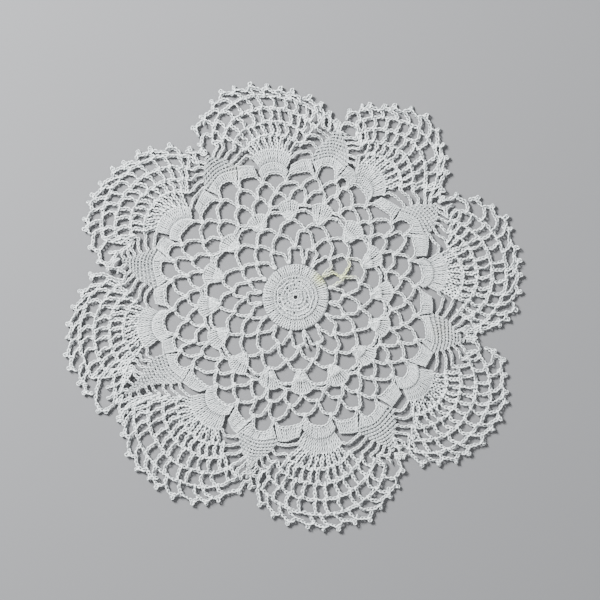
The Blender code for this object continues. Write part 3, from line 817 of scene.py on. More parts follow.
def chain_stitch() -> Stitch:
    """A chain stitch: a drop of thread drawn up through the one before it.

    Returns:
        The stitch.
    """
    half = [(0.15, 0.34, 1.02), (1.10, 0.74, 1.02), (2.10, 0.64, 0.78)]
    mirror = [(x, -y, z) for x, y, z in reversed(half)]
    return Stitch(CHAIN_PITCH, [(-0.40, 0.0, 0.40), *half, (2.75, 0.0, 0.42), *mirror], plump=1)


def post_stitch(height: float = 7.0, turns: float = 1.75, swing: float = 0.38) -> Stitch:
    """The post of a treble: two strands wound round each other.

    Args:
        height: how long one length of it is.
        turns: how often the strands wind in that length.
        swing: how far a strand swings to the side.

    Returns:
        The stitch.
    """
    ring = []
    for start, shares in ((0.0, np.linspace(0.0, 1.0, 8)), (math.pi, np.linspace(1.0, 0.0, 8))):
        for share in shares:
            angle = start + turns * 2 * math.pi * share
            ring.append((height * share, swing * math.cos(angle), 0.76 + 0.34 * math.sin(angle)))
    return Stitch(height, ring)


def stub_stitch(height: float = 2.2) -> Stitch:
    """The short post of a double crochet, two strands side by side.

    Args:
        height: how long it is.

    Returns:
        The stitch.
    """
    side = [(-0.05, 0.20, 0.36), (0.30, 0.42, 0.60), (0.70, 0.46, 0.82), (1.0, 0.30, 0.60)]
    up = [(x * height, y, z) for x, y, z in side]
    down = [(x, -y, z) for x, y, z in reversed(up)]
    return Stitch(height, up + down)


def wrap_stitch() -> Stitch:
    """The thread that ties one loop to the chain under it, as a slanting ring round the chain.

    Returns:
        The stitch.
    """
    ring = []
    for turn in np.arange(8) * math.pi / 4:
        ring.append((0.30 * math.cos(turn), 1.15 * math.cos(turn), 0.92 + 0.56 * math.sin(turn)))
    return Stitch(1.0, ring)


# --- the fabric ------------------------------------------------------------------------------
@dataclass(frozen=True)
class Basket:
    """The maker's stitches and cotton, handed to every piece."""

    chain: Stitch
    post: Stitch
    stub: Stitch
    wrap: Stitch
    cotton: bpy.types.Material

    @classmethod
    def fill(cls) -> "Basket":
        """Models each stitch and mixes the cotton's finish."""
        return cls(chain_stitch(), post_stitch(), stub_stitch(), wrap_stitch(),
                   CottonFinish().build())


class Fabric:
    """A piece of the crochet, to which stitches are added until it is finished."""

    chance = np.random.RandomState(SEED)

    def __init__(self, name: str, basket: Basket) -> None:
        """Starts an empty piece.

        Args:
            name: the piece's name.
            basket: the stitches and the cotton that it is worked from.
        """
        self.name = name
        self.basket = basket
        self.points: list[np.ndarray] = []
        self.quads: list[np.ndarray] = []
        self.threads: list[np.ndarray] = []
        self.lifts: list[np.ndarray] = []
        self.count = 0

    def work(self, line: Line, count: int = 0, width: float | tuple[float, float] = 1.0,
             height: float = 0.0, rise: tuple[float, float] = (0.0, 0.0), fall: float = 2.5,
             roll: float = 0.35, sway: float = 0.0, stitch: Stitch | None = None) -> None:
        """Works a row of one stitch along a line.

        Args:
            line: the line in the plan that the row follows.
            count: how many stitches, or nought for as many as fit.
            width: how wide they are beside the model, at the start and end of each.
            height: how far the row lies above the floor.
            rise: how much further its start and its end stand up.
            fall: over what length it comes down from there.
            roll: how far a stitch may turn about the line, in radians.
            sway: how far the row strays to either side of the line.
            stitch: the kind of stitch, which is chain unless another is given.
        """
        stitch = stitch or self.basket.chain
        travel = travelled(line)
        length = travel[-1]
        count = count or max(1, round(length / stitch.pitch))
        first, last = unit(line[1] - line[0]), unit(line[-1] - line[-2])
        spots = np.concatenate([[line[0] - LEAD * first], line, [line[-1] + LEAD * last]])
        travel = np.concatenate([[-LEAD], travel, [length + LEAD]])

        share = stitch.points[:, 0] / stitch.pitch
        along = (np.arange(count)[:, None] + share[None, :]) * (length / count)
        heading = found_at(along, travel, np.gradient(spots, travel))
        heading /= np.abs(heading)

        start, end = width if isinstance(width, tuple) else (width, width)
        stretch = start + (end - start) * np.clip(share, 0.0, 1.0)[None, :]
        stretch = stretch * self.chance.uniform(*WIDTHS, (count, 1))
        turn = self.chance.uniform(-roll, roll, (count, 1))
        turn = turn + roll * np.sin(along / ROLL_WAVE + self.chance.uniform(0.0, ANY_PHASE))
        across = stitch.points[None, :, 1] * stretch
        above = stitch.points[None, :, 2] - AXIS_HEIGHT
        side = across * np.cos(turn) - above * np.sin(turn)
        up = np.maximum(across * np.sin(turn) + above * np.cos(turn) + AXIS_HEIGHT, LEAST_LIFT)
        ends = (rise[0] * np.exp(-np.maximum(along, 0.0) / fall)
                + rise[1] * np.exp(-np.maximum(length - along, 0.0) / fall))
        stray = np.sin(np.clip(along / length, 0.0, 1.0) * math.pi)
        side = side + sway * stray * np.sin(along / SWAY_WAVE + self.chance.uniform(0.0, ANY_PHASE))
        spot = found_at(along, travel, spots) + 1j * heading * side
        points = np.stack([spot.real, spot.imag, np.maximum(up + height + ends, LEAST_HEIGHT)],
                          axis=-1)

        base = self.count + np.arange(count)[:, None, None] * len(stitch.points)
        self.quads.append((stitch.quads[None] + base).reshape(-1, 4))
        self.points.append(points.reshape(-1, 3))
        self.threads.append(np.tile(stitch.threads, (count, 1)))
        # how high each point lies in its own stitch, which the cotton reads to paint shade on the low
        # threads
        self.lifts.append((up + np.minimum(ends, 0.0) + min(height, 0.0)).ravel())
        self.count += count * len(stitch.points)

    def trebles(self, low: Line, high: Line, count: int, tall: int = 1, height: float = 0.0,
                heads: float = 0.1) -> None:
        """Works a row of trebles between two lines, with a chain of heads along the top.

        Args:
            low: the line that the posts stand on.
            high: the line that their heads lie on, in the same direction.
            count: how many trebles there are.
            tall: how many turns of thread one post is, beside a plain treble.
            height: how far the row lies above the floor.
            heads: how far the chain of heads lies above that.
        """
        low_gap, high_gap = (length_of(share_of(line, count=9)) / count for line in (low, high))
        widths = (max(0.6, low_gap / POST_WIDE), max(0.6, high_gap / POST_WIDE))
        for foot, top in zip(spread(low, count), spread(high, count)):
            lean = self.chance.uniform(-0.2, 0.2) * high_gap * 1j * unit(top - foot)
            self.work(np.array([foot, (foot + top) / 2 + lean, top]), tall, widths,
                      height + self.chance.uniform(-0.08, 0.12), rise=(-0.55, 0.1), fall=1.2,
                      stitch=self.basket.post)
        self.work(high, count, 0.56, height + heads, roll=0.5)

    def close(self, low: Line, high: Line, width: float, uneven: float = 0.0) -> None:
        """Works a row of double crochet between two lines.

        Args:
            low: the line that the row stands on.
            high: the line of its top, in the same direction.
            width: how wide each stitch is there.
            uneven: how irregular the stitches are, from nought to one.
        """
        count = max(1, round(length_of(high) / width))
        for foot, top in zip(spread(low, count), spread(high, count)):
            stray = self.chance.uniform(-0.35, 0.35) * uneven * width * 1j * unit(top - foot)
            sink = 0.5 * (1.0 - uneven * self.chance.uniform(0.3, 1.3))
            self.work(np.array([foot, (foot + top) / 2 + stray, top + stray]), 1, height=0.25,
                      rise=(-sink, 0.0), fall=0.7, stitch=self.basket.stub)
        self.work(high, count, 0.5 + 0.1 * uneven, height=0.4 - 0.15 * uneven,
                  roll=0.15 + 0.8 * uneven, sway=0.3 * uneven)

    def tie(self, tip: complex, along: complex, width: float = 1.0) -> None:
        """Ties a thread round a chain: at its tip, with the chain's direction and a width."""
        line = np.array([tip - 0.6 * along, tip, tip + 0.6 * along])
        self.work(line, 2, width, roll=0.1, stitch=self.basket.wrap)

    def finish(self) -> bpy.types.Object:
        """Returns:
            The piece.
        """
        points, quads = np.concatenate(self.points), np.concatenate(self.quads)
        points[:, 2] += swell(points[:, 0] + 1j * points[:, 1])
        mesh = bpy.data.meshes.new(self.name)
        mesh.vertices.add(len(points))
        mesh.vertices.foreach_set("co", (points * MM).astype(np.float32).ravel())
        mesh.loops.add(quads.size)
        mesh.loops.foreach_set("vertex_index", quads.astype(np.int32).ravel())
        mesh.polygons.add(len(quads))
        mesh.polygons.foreach_set("loop_start", np.arange(0, quads.size, 4, dtype=np.int32))
        layer = mesh.uv_layers.new(name="UVMap")
        layer.uv.foreach_set("vector", np.concatenate(self.threads).astype(np.float32).ravel())
        # the height in its own stitch, which the cotton reads to paint shade on the low threads
        lift = mesh.attributes.new(LIFT, "FLOAT", "POINT")
        lift.data.foreach_set("value", np.concatenate(self.lifts).astype(np.float32))
        mesh.update(calc_edges=True)
        mesh.validate()
        mesh.shade_smooth()
        mesh.materials.append(self.basket.cotton)
        piece = bpy.data.objects.new(self.name, mesh)
        bpy.context.collection.objects.link(piece)
        self._declare(piece, points)
        return piece

    @staticmethod
    def _declare(piece: bpy.types.Object, points: np.ndarray) -> None:
        """Attaches a piece to the body it rides on, hides the imported part, and works out its area as
        it lies flat.

        Args:
            piece: the piece.
            points: its places, in millimetres.
        """
        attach(piece, BODY)
        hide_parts(NODE)
        spots = points[:, 0] + 1j * points[:, 1]
        area = (outline_area(spots) - opening_area(spots)) * MM**2


def outline_area(spots: np.ndarray) -> float:
    """The area inside the straight-sided outline drawn tight round some places.

    The openings of the crochet and the notches of its edge count as part of it.

    Args:
        spots: the places, in millimetres.

    Returns:
        The area, in square millimetres.
    """
    ways = np.exp(2j * math.pi * np.arange(WAYS) / WAYS)
    corners = spots[[(spots * way.conjugate()).real.argmax() for way in ways]]
    return float((corners.conjugate() * np.roll(corners, -1)).imag.sum() / 2)


def opening_area(spots: np.ndarray) -> float:
    """The area of the opening round the doily's middle, nought unless the places surround it.

    Args:
        spots: the places, in millimetres.

    Returns:
        The area, in square millimetres.
    """
    sector = np.floor((np.angle(spots) / (2 * math.pi) % 1.0) * WAYS).astype(int) % WAYS
    nearest = np.full(WAYS, np.inf)
    np.minimum.at(nearest, sector, np.abs(spots))
    return float(math.pi * np.mean(nearest**2)) if np.isfinite(nearest).all() else 0.0


def swell(spots: np.ndarray) -> np.ndarray:
    """How far the crochet stands off the floor: soft swells, small ripples and the puckers.

    Args:
        spots: places in the plan.

    Returns:
        The height at each, in millimetres.
    """
    x, y = spots.real, spots.imag
    soft = np.sin(x / 17.0 + 0.6) * np.sin(y / 21.0 + 1.9) + np.sin(x / 31.0 - y / 27.0)
    ripple = (np.sin(x / 3.9 + 1.7 * np.sin(y / 11.0)) + np.sin(y / 4.3 + 2.1 * np.sin(x / 9.0))
              + np.sin((x - y) / 2.9 + 1.3))
    height = 0.12 * (soft + 2.0) + 0.11 * (ripple + 3.0)
    for pucker in PUCKERS:
        share = np.abs(spots - place(pucker.at, pucker.out)) / pucker.reach
        height = height + pucker.height * np.clip(1.0 - share**2, 0.0, 1.0) ** 2
    return height


# --- the sub-assemblies ----------------------------------------------------------------------
@dataclass
class CentreDisc:
    """Rounds of double crochet round a small hole, and a last round of trebles."""

    fabric: Fabric
    close: tuple[float, ...] = (2.0, 4.4, 6.7, 9.1, 11.5, 13.8)
    trebles: tuple[float, float, int] = (13.8, 21.0, 75)
    ridges: tuple[float, ...] = (6.7, 13.8)
    ridge_uneven: float = 0.2
    stitch: float = 1.9
    wave: float = 0.35

    def ring(self, radius: float) -> Line:
        """The line of one round: true at the ridges, a little wavy between them.

        Args:
            radius: the round's mean radius.

        Returns:
            The line, all the way round.
        """
        turn = np.linspace(0.0, 2 * math.pi, 145)
        wave = self.wave if self.close[0] < radius < self.close[-1] else 0.0
        if radius not in self.ridges:
            radius = radius + wave * (np.sin(3 * turn + radius) + 0.6 * np.sin(7 * turn - radius))
        return radius * np.exp(1j * turn)

    def work(self) -> None:
        """Works the disc."""
        self.fabric.work(self.ring(self.close[0]), 6, 0.7)
        for inner, outer in zip(self.close, self.close[1:]):
            uneven = self.ridge_uneven if outer in self.ridges else 1.0
            self.fabric.close(self.ring(inner), self.ring(outer), self.stitch, uneven)
        inner, outer, count = self.trebles
        self.fabric.trebles(self.ring(inner), self.ring(outer), count, heads=-0.4)


@dataclass
class InnerNet:
    """The four rounds of chain loops round the disc, tied to each other."""

    fabric: Fabric
    anchor: float = 22.2
    tail: tuple[complex, ...] = (4.4 - 30.0j, 6.9 - 30.7j, 7.8 - 33.2j)
    first_sway: float = 0.75
    sway: float = 0.3

    def rounds(self) -> list[list[Loop]]:
        """Where the loops of the four rounds lie, from the disc outwards.

        Returns:
            The rounds, each a list of its loops.
        """
        foot = [place(spoke.foot, self.anchor) for spoke in SPOKES]
        one, two, root, gap = (places(SPOKES, name) for name in ("one", "two", "root", "gap"))
        return [Loop.around(foot, one, Bend(0.8)), Loop.around(one, two),
                Loop.around([two[-1], *two[:-1]], root), Loop.around(root, gap)]

    def work(self) -> None:
        """Works the loops and the ties at their joints, and leaves the short tail of thread."""
        for number, loops in enumerate(self.rounds()):
            for loop in loops:
                self.fabric.work(loop.line, rise=(0.6, 0.6),
                                 sway=self.sway if number else self.first_sway)
                self.fabric.tie(loop.tip, loop.along)
        self.fabric.work(smooth(*self.tail), 2, 0.75, rise=(0.6, 0.3))


@dataclass
class ShellRound:
    """Sixteen fans of long trebles, and the chain arms between them."""

    fabric: Fabric
    half: float = 7.5
    drop: float = 3.6
    arm_rise: float = 3.6
    root_half: float = 2.6
    trebles: int = 10
    arch: float = 1.1

    def corners(self, spoke: Spoke) -> tuple[complex, complex]:
        """The two top corners of a shell, the one at the lower angle first."""
        top = place(spoke.top_at, spoke.top_r - self.drop)
        return top - 1j * unit(top) * self.half, top + 1j * unit(top) * self.half

    def meet(self, spoke: Spoke) -> complex:
        """Where the arms of this shell and the next meet."""
        return place(spoke.gap_at, spoke.gap_r + self.arm_rise)

    def arms(self, k: int) -> list[Line]:
        """The two arms that meet after the shell of one spoke.

        Args:
            k: the spoke's number.

        Returns:
            The two lines, each from a shell's corner.
        """
        meet = self.meet(SPOKES[k])
        ends = self.corners(SPOKES[k])[1], self.corners(SPOKES[(k + 1) % len(SPOKES)])[0]
        return [np.array([end, (end + meet) / 2, meet]) for end in ends]

    def work(self) -> None:
        """Works the shells and arms."""
        for k, spoke in enumerate(SPOKES):
            root = place(spoke.root_at, spoke.root_r)
            first, second = self.corners(spoke)
            top = place(spoke.top_at, spoke.top_r)
            side = 1j * unit(root) * self.root_half
            rise = self.arch * unit(top)
            high = smooth(first, (first + top) / 2 + rise, top, (second + top) / 2 + rise, second)
            self.fabric.trebles(np.array([root - side, root, root + side]), high, self.trebles,
                                tall=2, height=0.15)
            for arm in self.arms(k):
                self.fabric.work(arm, rise=(0.4, 0.6))


class Carries(Enum):
    """What an arch of the outer net carries: how far on it is from a wedge's arch."""

    PETAL = -2
    FIRST_PATCH = -3
    WEDGE = 0
    SECOND_PATCH = -1


@dataclass
class OuterNet:
    """The thirty-two-fold net between the shells and the border, and its arches."""

    fabric: Fabric
    shells: ShellRound
    rise: tuple[float, float] = (0.6, 0.6)
    sway: float = 0.3

    def __post_init__(self) -> None:
        """Works out where the loops and arches lie."""
        feet = []
        for spoke in SPOKES:
            feet += [place(spoke.top_at, spoke.top_r), self.shells.meet(spoke)]
        six, seven, tops = (places(LOOPS, name) for name in ("six", "seven", "arch"))
        self.loops = Loop.around(feet, six, Bend(0.65)) + Loop.around(six, seven, Bend(0.65))
        self.arches = Loop.around(seven, tops, Bend(0.75, 0.5, 0.5))

    def arch(self, number: int, carries: Carries) -> Loop:
        """The arch of one of the eight repeats that carries a patch, petal or wedge."""
        return self.arches[(4 * number + 1 + carries.value) % len(self.arches)]

    def work(self) -> None:
        """Works the loops and arches."""
        for loop in self.loops:
            self.fabric.work(loop.line, rise=self.rise, sway=self.sway)
            self.fabric.tie(loop.tip, loop.along)
        for loop in self.arches:
            self.fabric.work(loop.line, rise=self.rise)


@dataclass
class Wedge:
    """A wedge of close double crochet between two petals, narrowing to a tip."""

    net: OuterNet
    number: int
    step: float = 2.15
    stitch: float = 2.05
    band: int = 16
    first: float = 5.6
    foot_drop: float = 1.6
    foot_share: float = 0.88

    @property
    def row(self) -> WedgeRow:
        """The wedge's places in the plan."""
        return WEDGES[self.number]

    def at(self, out: float, aside: float) -> complex:
        """The place so far out from the top of the arch, and so far towards higher angles."""
        return place(self.row.arch_at, 1.0) * (self.row.arch_r + out + 1j * aside)

    def side(self, side: int) -> SideRow:
        """One of the wedge's sides: -1 for the one at lower angles, +1 for the other."""
        return self.row.high if side > 0 else self.row.low

    def spots(self, side: int, row: tuple[float, ...]) -> list[complex]:
        """The places in a row of the table, for one side."""
        return [self.at(out, side * aside) for out, aside in zip(row[::2], row[1::2])]

    def chains(self, side: int) -> list[list[complex]]:
        """The chains from one side to the petal there: each landing, middle and hem."""
        return [self.spots(side, row) for row in self.side(side).chains]

    def edge(self, side: int) -> Line:
        """The line of one side of the wedge, from its first row of double crochet to its tip.

        Args:
            side: -1 for the side at lower angles, +1 for the other.

        Returns:
            The line.
        """
        out, aside = self.side(side).patch[:2]
        landings = [chain[0] for chain in self.chains(side)]
        foot = self.at(out - self.foot_drop, side * self.foot_share * aside)
        return np.array([foot, self.at(out, side * aside), *landings, self.at(*self.row.tip)])

    def work(self, fabric: Fabric) -> None:
        """Works the band on the arch and the rows above it.

        Args:
            fabric: the piece to work them into.
        """
        arch = self.net.arch(self.number, Carries.WEDGE)
        tip = self.at(*self.row.tip)
        rows = round((self.row.tip[0] - self.first) / self.step)
        middle = np.array([self.at(self.first, 0.0), tip])
        edges = (share_of(line, count=rows + 1) for line in (self.edge(-1), middle, self.edge(+1)))
        lines = [smooth(*spots) for spots in zip(*edges)][:-1]
        fabric.trebles(share_of(arch.line, 0.12, 0.88), lines[0], self.band, height=0.2)
        for low, high in zip(lines, lines[1:]):
            fabric.close(low, high, self.stitch)


@dataclass
class Petal:
    """One petal of the border: close trebles at its root, then a net, edged with picots.

    Its lengths are in millimetres, its angles in degrees from its axis, and its levels shares of
    the way from the middle of its root out to its rim.
    """

    fabric: Fabric
    net: OuterNet
    wedges: list[Wedge]
    number: int
    root_level: float = 0.22
    root_trebles: int = 20
    ring_spare: float = 12.0
    row_spare: float = 2.0
    inset: float = 1.5
    roundness: float = 2.2
    dent_width: float = 18.0
    lean_stray: float = 0.9
    bow: float = 1.4
    hump: float = 0.7
    picot: float = 3.9
    picot_turn: float = 14.0
    patch_trebles: int = 12
    post_gap: float = 5.6
    post_width: float = 1.45
    post_taper: float = 0.09
    least_post: float = 2.5
    least_end_post: float = 3.0
    foot_near: float = 2.0
    top_near: float = 1.2
    clear: float = 1.6
    tie_width: float = 0.85
    roll: float = 0.55
    bending: float = 3.0
    wander_step: float = 5.0
    bulge: float = 0.4
    stray: float = 0.6
    cell: float = 6.5
    side_width: float = 0.95
    side_picots: float = 7.0
    stretch: float = 11.0
    slack: float = 2.5
    bands: list[Line] = field(default_factory=list)
    rim: list[Line] = field(default_factory=list)

    @property
    def row(self) -> PetalRow:
        """The petal's places in the plan."""
        return PETALS[self.number]

    @property
    def plan(self) -> NetRow:
        """The plan of the petal's net."""
        return NETS[self.number]

    @property
    def centre(self) -> complex:
        """The middle of the petal's root."""
        return place(self.row.at, self.row.out)

    @property
    def up(self) -> complex:
        """The way that the petal points."""
        return place(self.row.axis, 1.0)

    def reach(self, turn: float, level: float) -> float:
        """How far out a round lies at an angle from the axis: it falls away on both sides.

        Args:
            turn: the angle.
            level: the round's share of the way out to the rim.

        Returns:
            The distance from the middle of the root.
        """
        row = self.row
        side, end = (row.last, row.last_rim) if turn > row.peak else (row.first, row.first_rim)
        share = abs((turn - row.peak) / (side - row.peak))
        dent = row.dent * level**4 * math.exp(-((turn - row.dent_at) / self.dent_width) ** 2)
        return level * (row.rim - (row.rim - end) * share**self.roundness) - dent

    def at(self, turn: float, level: float) -> complex:
        """The place at an angle from the axis, on a round of the given level."""
        return self.centre + self.reach(turn, level) * self.up * place(turn, 1.0)

    def arc(self, first: float, last: float, level: float, count: int = 25) -> Line:
        """The line of one level between two angles."""
        return np.array([self.at(turn, level) for turn in np.linspace(first, last, count)])

    def level(self, band: int, turn: float) -> float:
        """The level of the chain along the top of a round, at an angle from the axis."""
        return NET_LEVELS[band] + self.plan.tilt * turn

    def post(self, number: int, turn: float) -> Line:
        """The line of one post of the net, bowed a little, from the chain below to its own.

        Args:
            number: the round, from 1.
            turn: the angle of the middle of the post.

        Returns:
            The line.
        """
        chance = Fabric.chance
        lean = (self.plan.lean + chance.uniform(-self.lean_stray, self.lean_stray)) / 2
        bow = self.bow * chance.uniform(0.5, 1.5)
        foot, top = turn - lean + bow, turn + lean + bow
        low, high = self.level(number - 1, foot), self.level(number, top)
        return smooth(self.at(foot, low), self.at(turn, low + 0.48 * (high - low)),
                      self.at(top, high), count=FEW)

    def band(self, tops: list[complex]) -> Line:
        """The chain along the tops of a round's posts, humped a little between each two.

        Args:
            tops: the tops of the posts.

        Returns:
            The line.
        """
        spots = [2 * tops[0] - (tops[0] + tops[1]) / 2]
        for first, second in zip(tops, tops[1:]):
            middle = (first + second) / 2
            hump = self.hump * Fabric.chance.uniform(0.2, 1.4)
            spots += [first, middle + hump * unit(middle - self.centre)]
        return smooth(*spots, tops[-1], 2 * tops[-1] - (tops[-1] + tops[-2]) / 2, count=FEW)

    def led(self, line: Line, chain: int) -> Line:
        """A round's line, cut off or led on at both ends to where its side chains begin.

        Args:
            line: the line, towards higher angles.
            chain: the number of its side chains.

        Returns:
            The line from hem to hem.
        """
        for side in (-1, +1):
            hem = self.wedge(side).chains(-side)[chain][2]
            line = line[::-side]
            near = np.argmin(np.abs(line - hem))
            clear = max(self.bending, 1.2 * abs(line[near] - hem)) if near else self.bending
            line = line[near:]
            line = line[np.abs(line - hem) > clear]
            line = np.concatenate([self.wander(hem, line[0])[:-1], line])[::-side]
        return line

    def wander(self, start: complex, end: complex) -> Line:
        """An uneven line between two places, bulging a little away from the petal's root.

        Args:
            start: the first place.
            end: the second place.

        Returns:
            The line.
        """
        count = max(2, round(abs(end - start) / self.wander_step))
        shares = np.linspace(0.0, 1.0, count + 1)
        spots = start + (end - start) * shares
        bulge = self.bulge * abs(end - start) * shares * (1.0 - shares)
        bulge = bulge + Fabric.chance.uniform(-self.stray, self.stray, count + 1)
        spots[1:-1] += bulge[1:-1] * unit((start + end) / 2 - self.centre)
        return smooth(*spots, count=FEW)

    def stands(self, post: Line, low: Line, high: Line) -> bool:
        """Whether a post stands between two rounds, clear of their ends.

        Args:
            post: the post's line.
            low: the round below.
            high: the round's own chain.

        Returns:
            True where it does.
        """
        for line, end, near in ((low, post[0], self.foot_near), (high, post[-1], self.top_near)):
            if np.abs(line - end).min() >= near or np.abs(line[[0, -1]] - end).min() <= self.clear:
                return False
        return True

    def work(self) -> None:
        """Works the petal, with the wedge and the two patches at its sides."""
        self.wedges[self.number].work(self.fabric)
        self.work_patches()
        self.work_root()
        self.work_bars()
        self.work_net()
        self.work_rim()
        for side in (-1, +1):
            self.work_side(side)

    def wedge(self, side: int) -> Wedge:
        """The wedge at one side: -1 for the side at lower angles, +1 for the other."""
        return self.wedges[self.number if side > 0 else self.number - 1]

    def work_patches(self) -> None:
        """Works the short rows of trebles on the arches at either side of the petal."""
        for side, carries in ((-1, Carries.FIRST_PATCH), (+1, Carries.SECOND_PATCH)):
            arch = self.net.arch(self.number, carries)
            low = share_of(arch.line, 0.08, 0.82) if side < 0 else share_of(arch.line, 0.18, 0.92)
            wedge = self.wedge(side)
            high = smooth(*wedge.spots(-side, wedge.side(-side).patch))[::-side]
            self.fabric.trebles(low, high, self.patch_trebles, height=0.2)

    def work_root(self) -> None:
        """Works the two rows of close trebles at the root."""
        arch = self.net.arch(self.number, Carries.PETAL)
        first, last = self.plan.block
        ring = self.arc(first - self.ring_spare, last + self.ring_spare, self.root_level)
        self.fabric.trebles(share_of(arch.line, 0.1, 0.9), ring, self.root_trebles, height=0.2,
                            heads=-0.3)
        low = self.arc(first - self.row_spare, last + self.row_spare, self.root_level)
        self.fabric.trebles(low, self.arc(first, last, BLOCK_LEVEL), self.root_trebles, height=0.2)

    def work_bars(self) -> None:
        """Works the row of spaced trebles, and the chain along their tops."""
        above = np.array(self.plan.one)
        turns = [2 * above[0] - above[1:3].mean(), *(above[1:] + above[:-1]) / 2,
                 2 * above[-1] - above[-3:-1].mean()]
        tops = [self.at(turn, self.level(0, turn)) for turn in turns]
        first, last = self.plan.block
        block = self.arc(first + self.inset, last - self.inset, BLOCK_LEVEL, len(tops))
        self.bands.append(block)
        self.work_band(tops)
        for foot, top in zip(block, tops):
            if np.abs(self.bands[-1] - top).min() < self.top_near:
                self.fabric.work(np.array([foot, (foot + top) / 2, top]), 4, (1.3, 1.5), 0.1,
                                 sway=0.3, roll=0.5)

    def work_net(self) -> None:
        """Works the rounds of posts, each with a chain along its tops."""
        for number, turns in enumerate((self.plan.one, self.plan.two, self.plan.three), start=1):
            width = self.post_width - self.post_taper * number
            posts = [self.post(number, turn) for turn in turns]
            self.work_band([line[-1] for line in posts])
            low, high = self.bands[-2:]
            posts = [line for line in posts if self.stands(line, low, high)]
            for line in posts + self.last_posts(low, high, posts):
                self.fabric.work(line, 4 if number < 2 else 0, (width, width * 0.95),
                                 rise=(0.7, 0.3), sway=0.3, roll=self.roll)
                self.fabric.tie(line[0], 1j * unit(line[1] - line[0]), self.tie_width)

    def last_posts(self, low: Line, high: Line, posts: list[Line]) -> list[Line]:
        """The posts at both ends of a round, where it is led on to a hem.

        Args:
            low: the round below.
            high: the round's own chain.
            posts: the posts that the plan gives it.

        Returns:
            The lines of the further posts.
        """
        lines = []
        for side in (-1, +1):
            post = posts[0 if side < 0 else -1]
            lower, upper = joined(low[::-side], post[0]), joined(high[::-side], post[-1])
            count = round(max(length_of(lower), length_of(upper)) / self.post_gap)
            for number in range(1, count):
                foot, top = (point_at(line, number / count) for line in (lower, upper))
                if abs(top - foot) > self.least_end_post:
                    lines.append(smooth(foot, (foot + top) / 2, top, count=FEW))
        return lines

    def work_band(self, tops: list[complex]) -> None:
        """Works the chain along the tops of a round's posts.

        Args:
            tops: the tops of the posts.
        """
        line = self.led(self.band(tops), len(self.bands))
        self.bands.append(line)
        self.fabric.work(line, width=1.2, height=0.15, sway=0.25, roll=self.roll)

    def work_rim(self) -> None:
        """Works the loops of the rim, each up one slanting leg to its picot and down again."""
        ends = [smooth(*self.wedge(side).chains(-side)[-1]) for side in (-1, 1)]
        under = np.concatenate([ends[0], self.bands[-1], ends[1]])
        for foot, turn, level in self.plan.picots:
            low = self.level(len(NET_LEVELS) - 1, foot)
            base = level - self.picot / self.row.rim
            tall = base - low
            start = self.at(foot - 0.9, low)
            near = under[np.abs(under - start).argmin()]
            if abs(near - start) > self.stretch:
                continue
            if abs(near - start) > self.slack:
                start = near
            line = smooth(start, self.at(foot, low + 0.42 * tall),
                          self.at(foot + 0.3 * (turn - foot), low + 0.72 * tall),
                          self.at(turn - 1.2, base), self.at(turn + 1.3, base - 0.004),
                          self.at(turn + 2.8, base - 0.03), count=FEW)
            self.fabric.work(line, width=1.2, rise=(0.7, 0.5), fall=4.0, sway=0.3,
                             roll=self.roll)
            self.fabric.tie(line[0], 1j * unit(line[1] - line[0]), self.tie_width)
            stray = Fabric.chance.uniform(-self.picot_turn, self.picot_turn)
            self.work_picot(self.at(turn, base), self.up * place(turn + stray, 1.0) * self.picot)
            self.rim.append(line)

    def work_picot(self, tip: complex, out: complex) -> None:
        """Works a picot, a tight little bump of chain on the rim.

        Args:
            tip: where it stands.
            out: how far it reaches out from there, and which way.
        """
        side = 1j * unit(out)
        line = smooth(tip - 0.5 * side, tip + 0.4 * out - 0.75 * side, tip + 0.82 * out,
                      tip + 0.4 * out + 0.75 * side, tip + 0.5 * side)
        self.fabric.work(line, 4, 1.0, height=0.1, roll=0.6)

    def work_side(self, side: int) -> None:
        """Works the chains that join one side of the petal to its wedge.

        Args:
            side: -1 for the side at lower angles, +1 for the other.
        """
        wedge = self.wedge(side)
        tip = wedge.at(*wedge.row.tip)
        corner = self.at(self.plan.block[0 if side < 0 else -1], BLOCK_LEVEL)
        chains = [smooth(*chain) for chain in wedge.chains(-side)]
        if abs(corner - chains[0][0]) > abs(chains[0][-1] - chains[0][0]):
            chains[0] = np.concatenate([chains[0], [corner]])
        end, foot = (self.rim[0][12], self.rim[0][0]) if side < 0 else (self.rim[-1][-1],) * 2
        rim = self.wander(tip, end)
        low = np.concatenate([chains[-1], joined(self.bands[-1][::-side], foot)])
        for line in [*chains, rim]:
            self.fabric.work(line, width=self.side_width, rise=(0.3, 0.5), sway=0.2)
        for top in share_of(rim, 0.3, 0.95, round(length_of(rim) / self.side_picots)):
            self.work_picot(top, unit(top - self.centre) * self.picot)
        self.fill(low, rim)

    def fill(self, low: Line, high: Line) -> None:
        """Works the cells between two chains: posts, and further chains where there is room.

        Args:
            low: the chain on the inner side.
            high: the chain on the outer side, in the same direction.
        """
        low, high = share_of(low), share_of(high)
        rounds = max(1, round(np.abs(high - low).max() / self.cell))
        lines = [low + (high - low) * number / rounds for number in range(rounds + 1)]
        for line in lines[1:-1]:
            self.fabric.work(line, width=1.1, height=0.15, sway=0.4, roll=0.5)
        for lower, upper in zip(lines, lines[1:]):
            count = round(length_of(upper) / self.post_gap)
            for number in range(1, count):
                share = (number + Fabric.chance.uniform(-0.2, 0.2)) / count
                foot, top = (point_at(line, share) for line in (lower, upper))
                if abs(top - foot) > self.least_post:
                    self.fabric.work(smooth(foot, top), width=1.2, rise=(0.7, 0.3), sway=0.3)


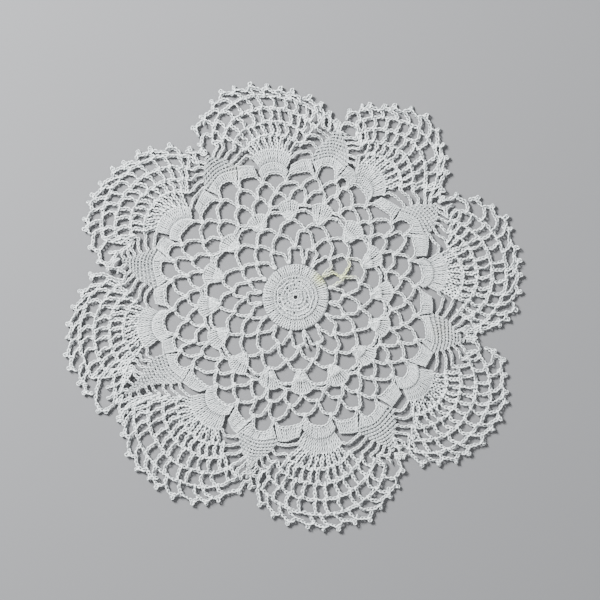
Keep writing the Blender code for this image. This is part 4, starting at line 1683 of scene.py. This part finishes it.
# --- the studio ------------------------------------------------------------------------------
@dataclass(frozen=True)
class Softbox:
    """A soft square light that faces the doily."""

    name: str
    spot: tuple[float, float, float]
    size: float
    power: float

    def build(self) -> None:
        """Adds the light, turned so that its back points away from the doily."""
        bpy.ops.object.light_add(type="AREA", location=self.spot)
        light = bpy.context.object
        light.name = self.name
        light.data.size = self.size
        light.data.energy = self.power
        back = np.array(self.spot) / np.linalg.norm(self.spot)
        light.rotation_euler = (math.acos(back[2]), 0.0, math.atan2(back[1], back[0]) + math.pi / 2)


@dataclass(frozen=True)
class Studio:
    """The floor, the soft lights and the camera straight above."""

    floor_size: float = 6.0
    lights: tuple[Softbox, ...] = (Softbox("key", (-0.95, 0.85, 0.85), 0.4, 106.0),
                                   Softbox("fill", (0.9, -0.5, 1.1), 1.2, 7.0))
    sky: tuple[float, float, float, float] = (0.95, 0.97, 1.0, 1.0)
    sky_strength: float = 0.34
    frame_width: float = 0.390
    centre: tuple[float, float] = (0.0028, -0.0018)
    distance: float = 1.25
    sensor: float = 36.0

    def build(self) -> None:
        """Sets up the floor, lights and camera."""
        bpy.ops.object.select_all(action="DESELECT")
        bpy.ops.mesh.primitive_plane_add(size=self.floor_size, location=(0.0, 0.0, 0.0))
        floor = bpy.context.object
        floor.name = "floor"
        floor.data.materials.append(FloorFinish().build())
        for light in self.lights:
            light.build()
        world = bpy.data.worlds.new("studio")
        world.use_nodes = True
        sky = world.node_tree.nodes["Background"].inputs
        sky["Color"].default_value = self.sky
        sky["Strength"].default_value = self.sky_strength
        bpy.context.scene.world = world
        bpy.ops.object.camera_add(location=(*self.centre, self.distance), rotation=(0.0, 0.0, 0.0))
        camera = bpy.context.object
        camera.data.lens = self.sensor * self.distance / self.frame_width
        camera.data.sensor_width = self.sensor
        bpy.context.scene.camera = camera


def report(piece: bpy.types.Object) -> None:
    """Logs a finished piece."""
    log.info("%s: %d triangles", piece.name, 2 * len(piece.data.polygons))


def main() -> None:
    """Builds the doily and its studio."""
    logging.basicConfig(level=logging.INFO, format="%(message)s")
    basket = Basket.fill()
    centre = Fabric("centre", basket)
    shells = ShellRound(centre)
    for part in (CentreDisc(centre), InnerNet(centre), shells):
        part.work()
    report(centre.finish())
    net = OuterNet(Fabric("outer_net", basket), shells)
    net.work()
    report(net.fabric.finish())
    wedges = [Wedge(net, number) for number in range(len(WEDGES))]
    for number in range(len(PETALS)):
        petal = Petal(Fabric(f"petal_{number + 1}", basket), net, wedges, number)
        petal.work()
        report(petal.fabric.finish())
    Studio().build()


if __name__ == "__main__":
    main()
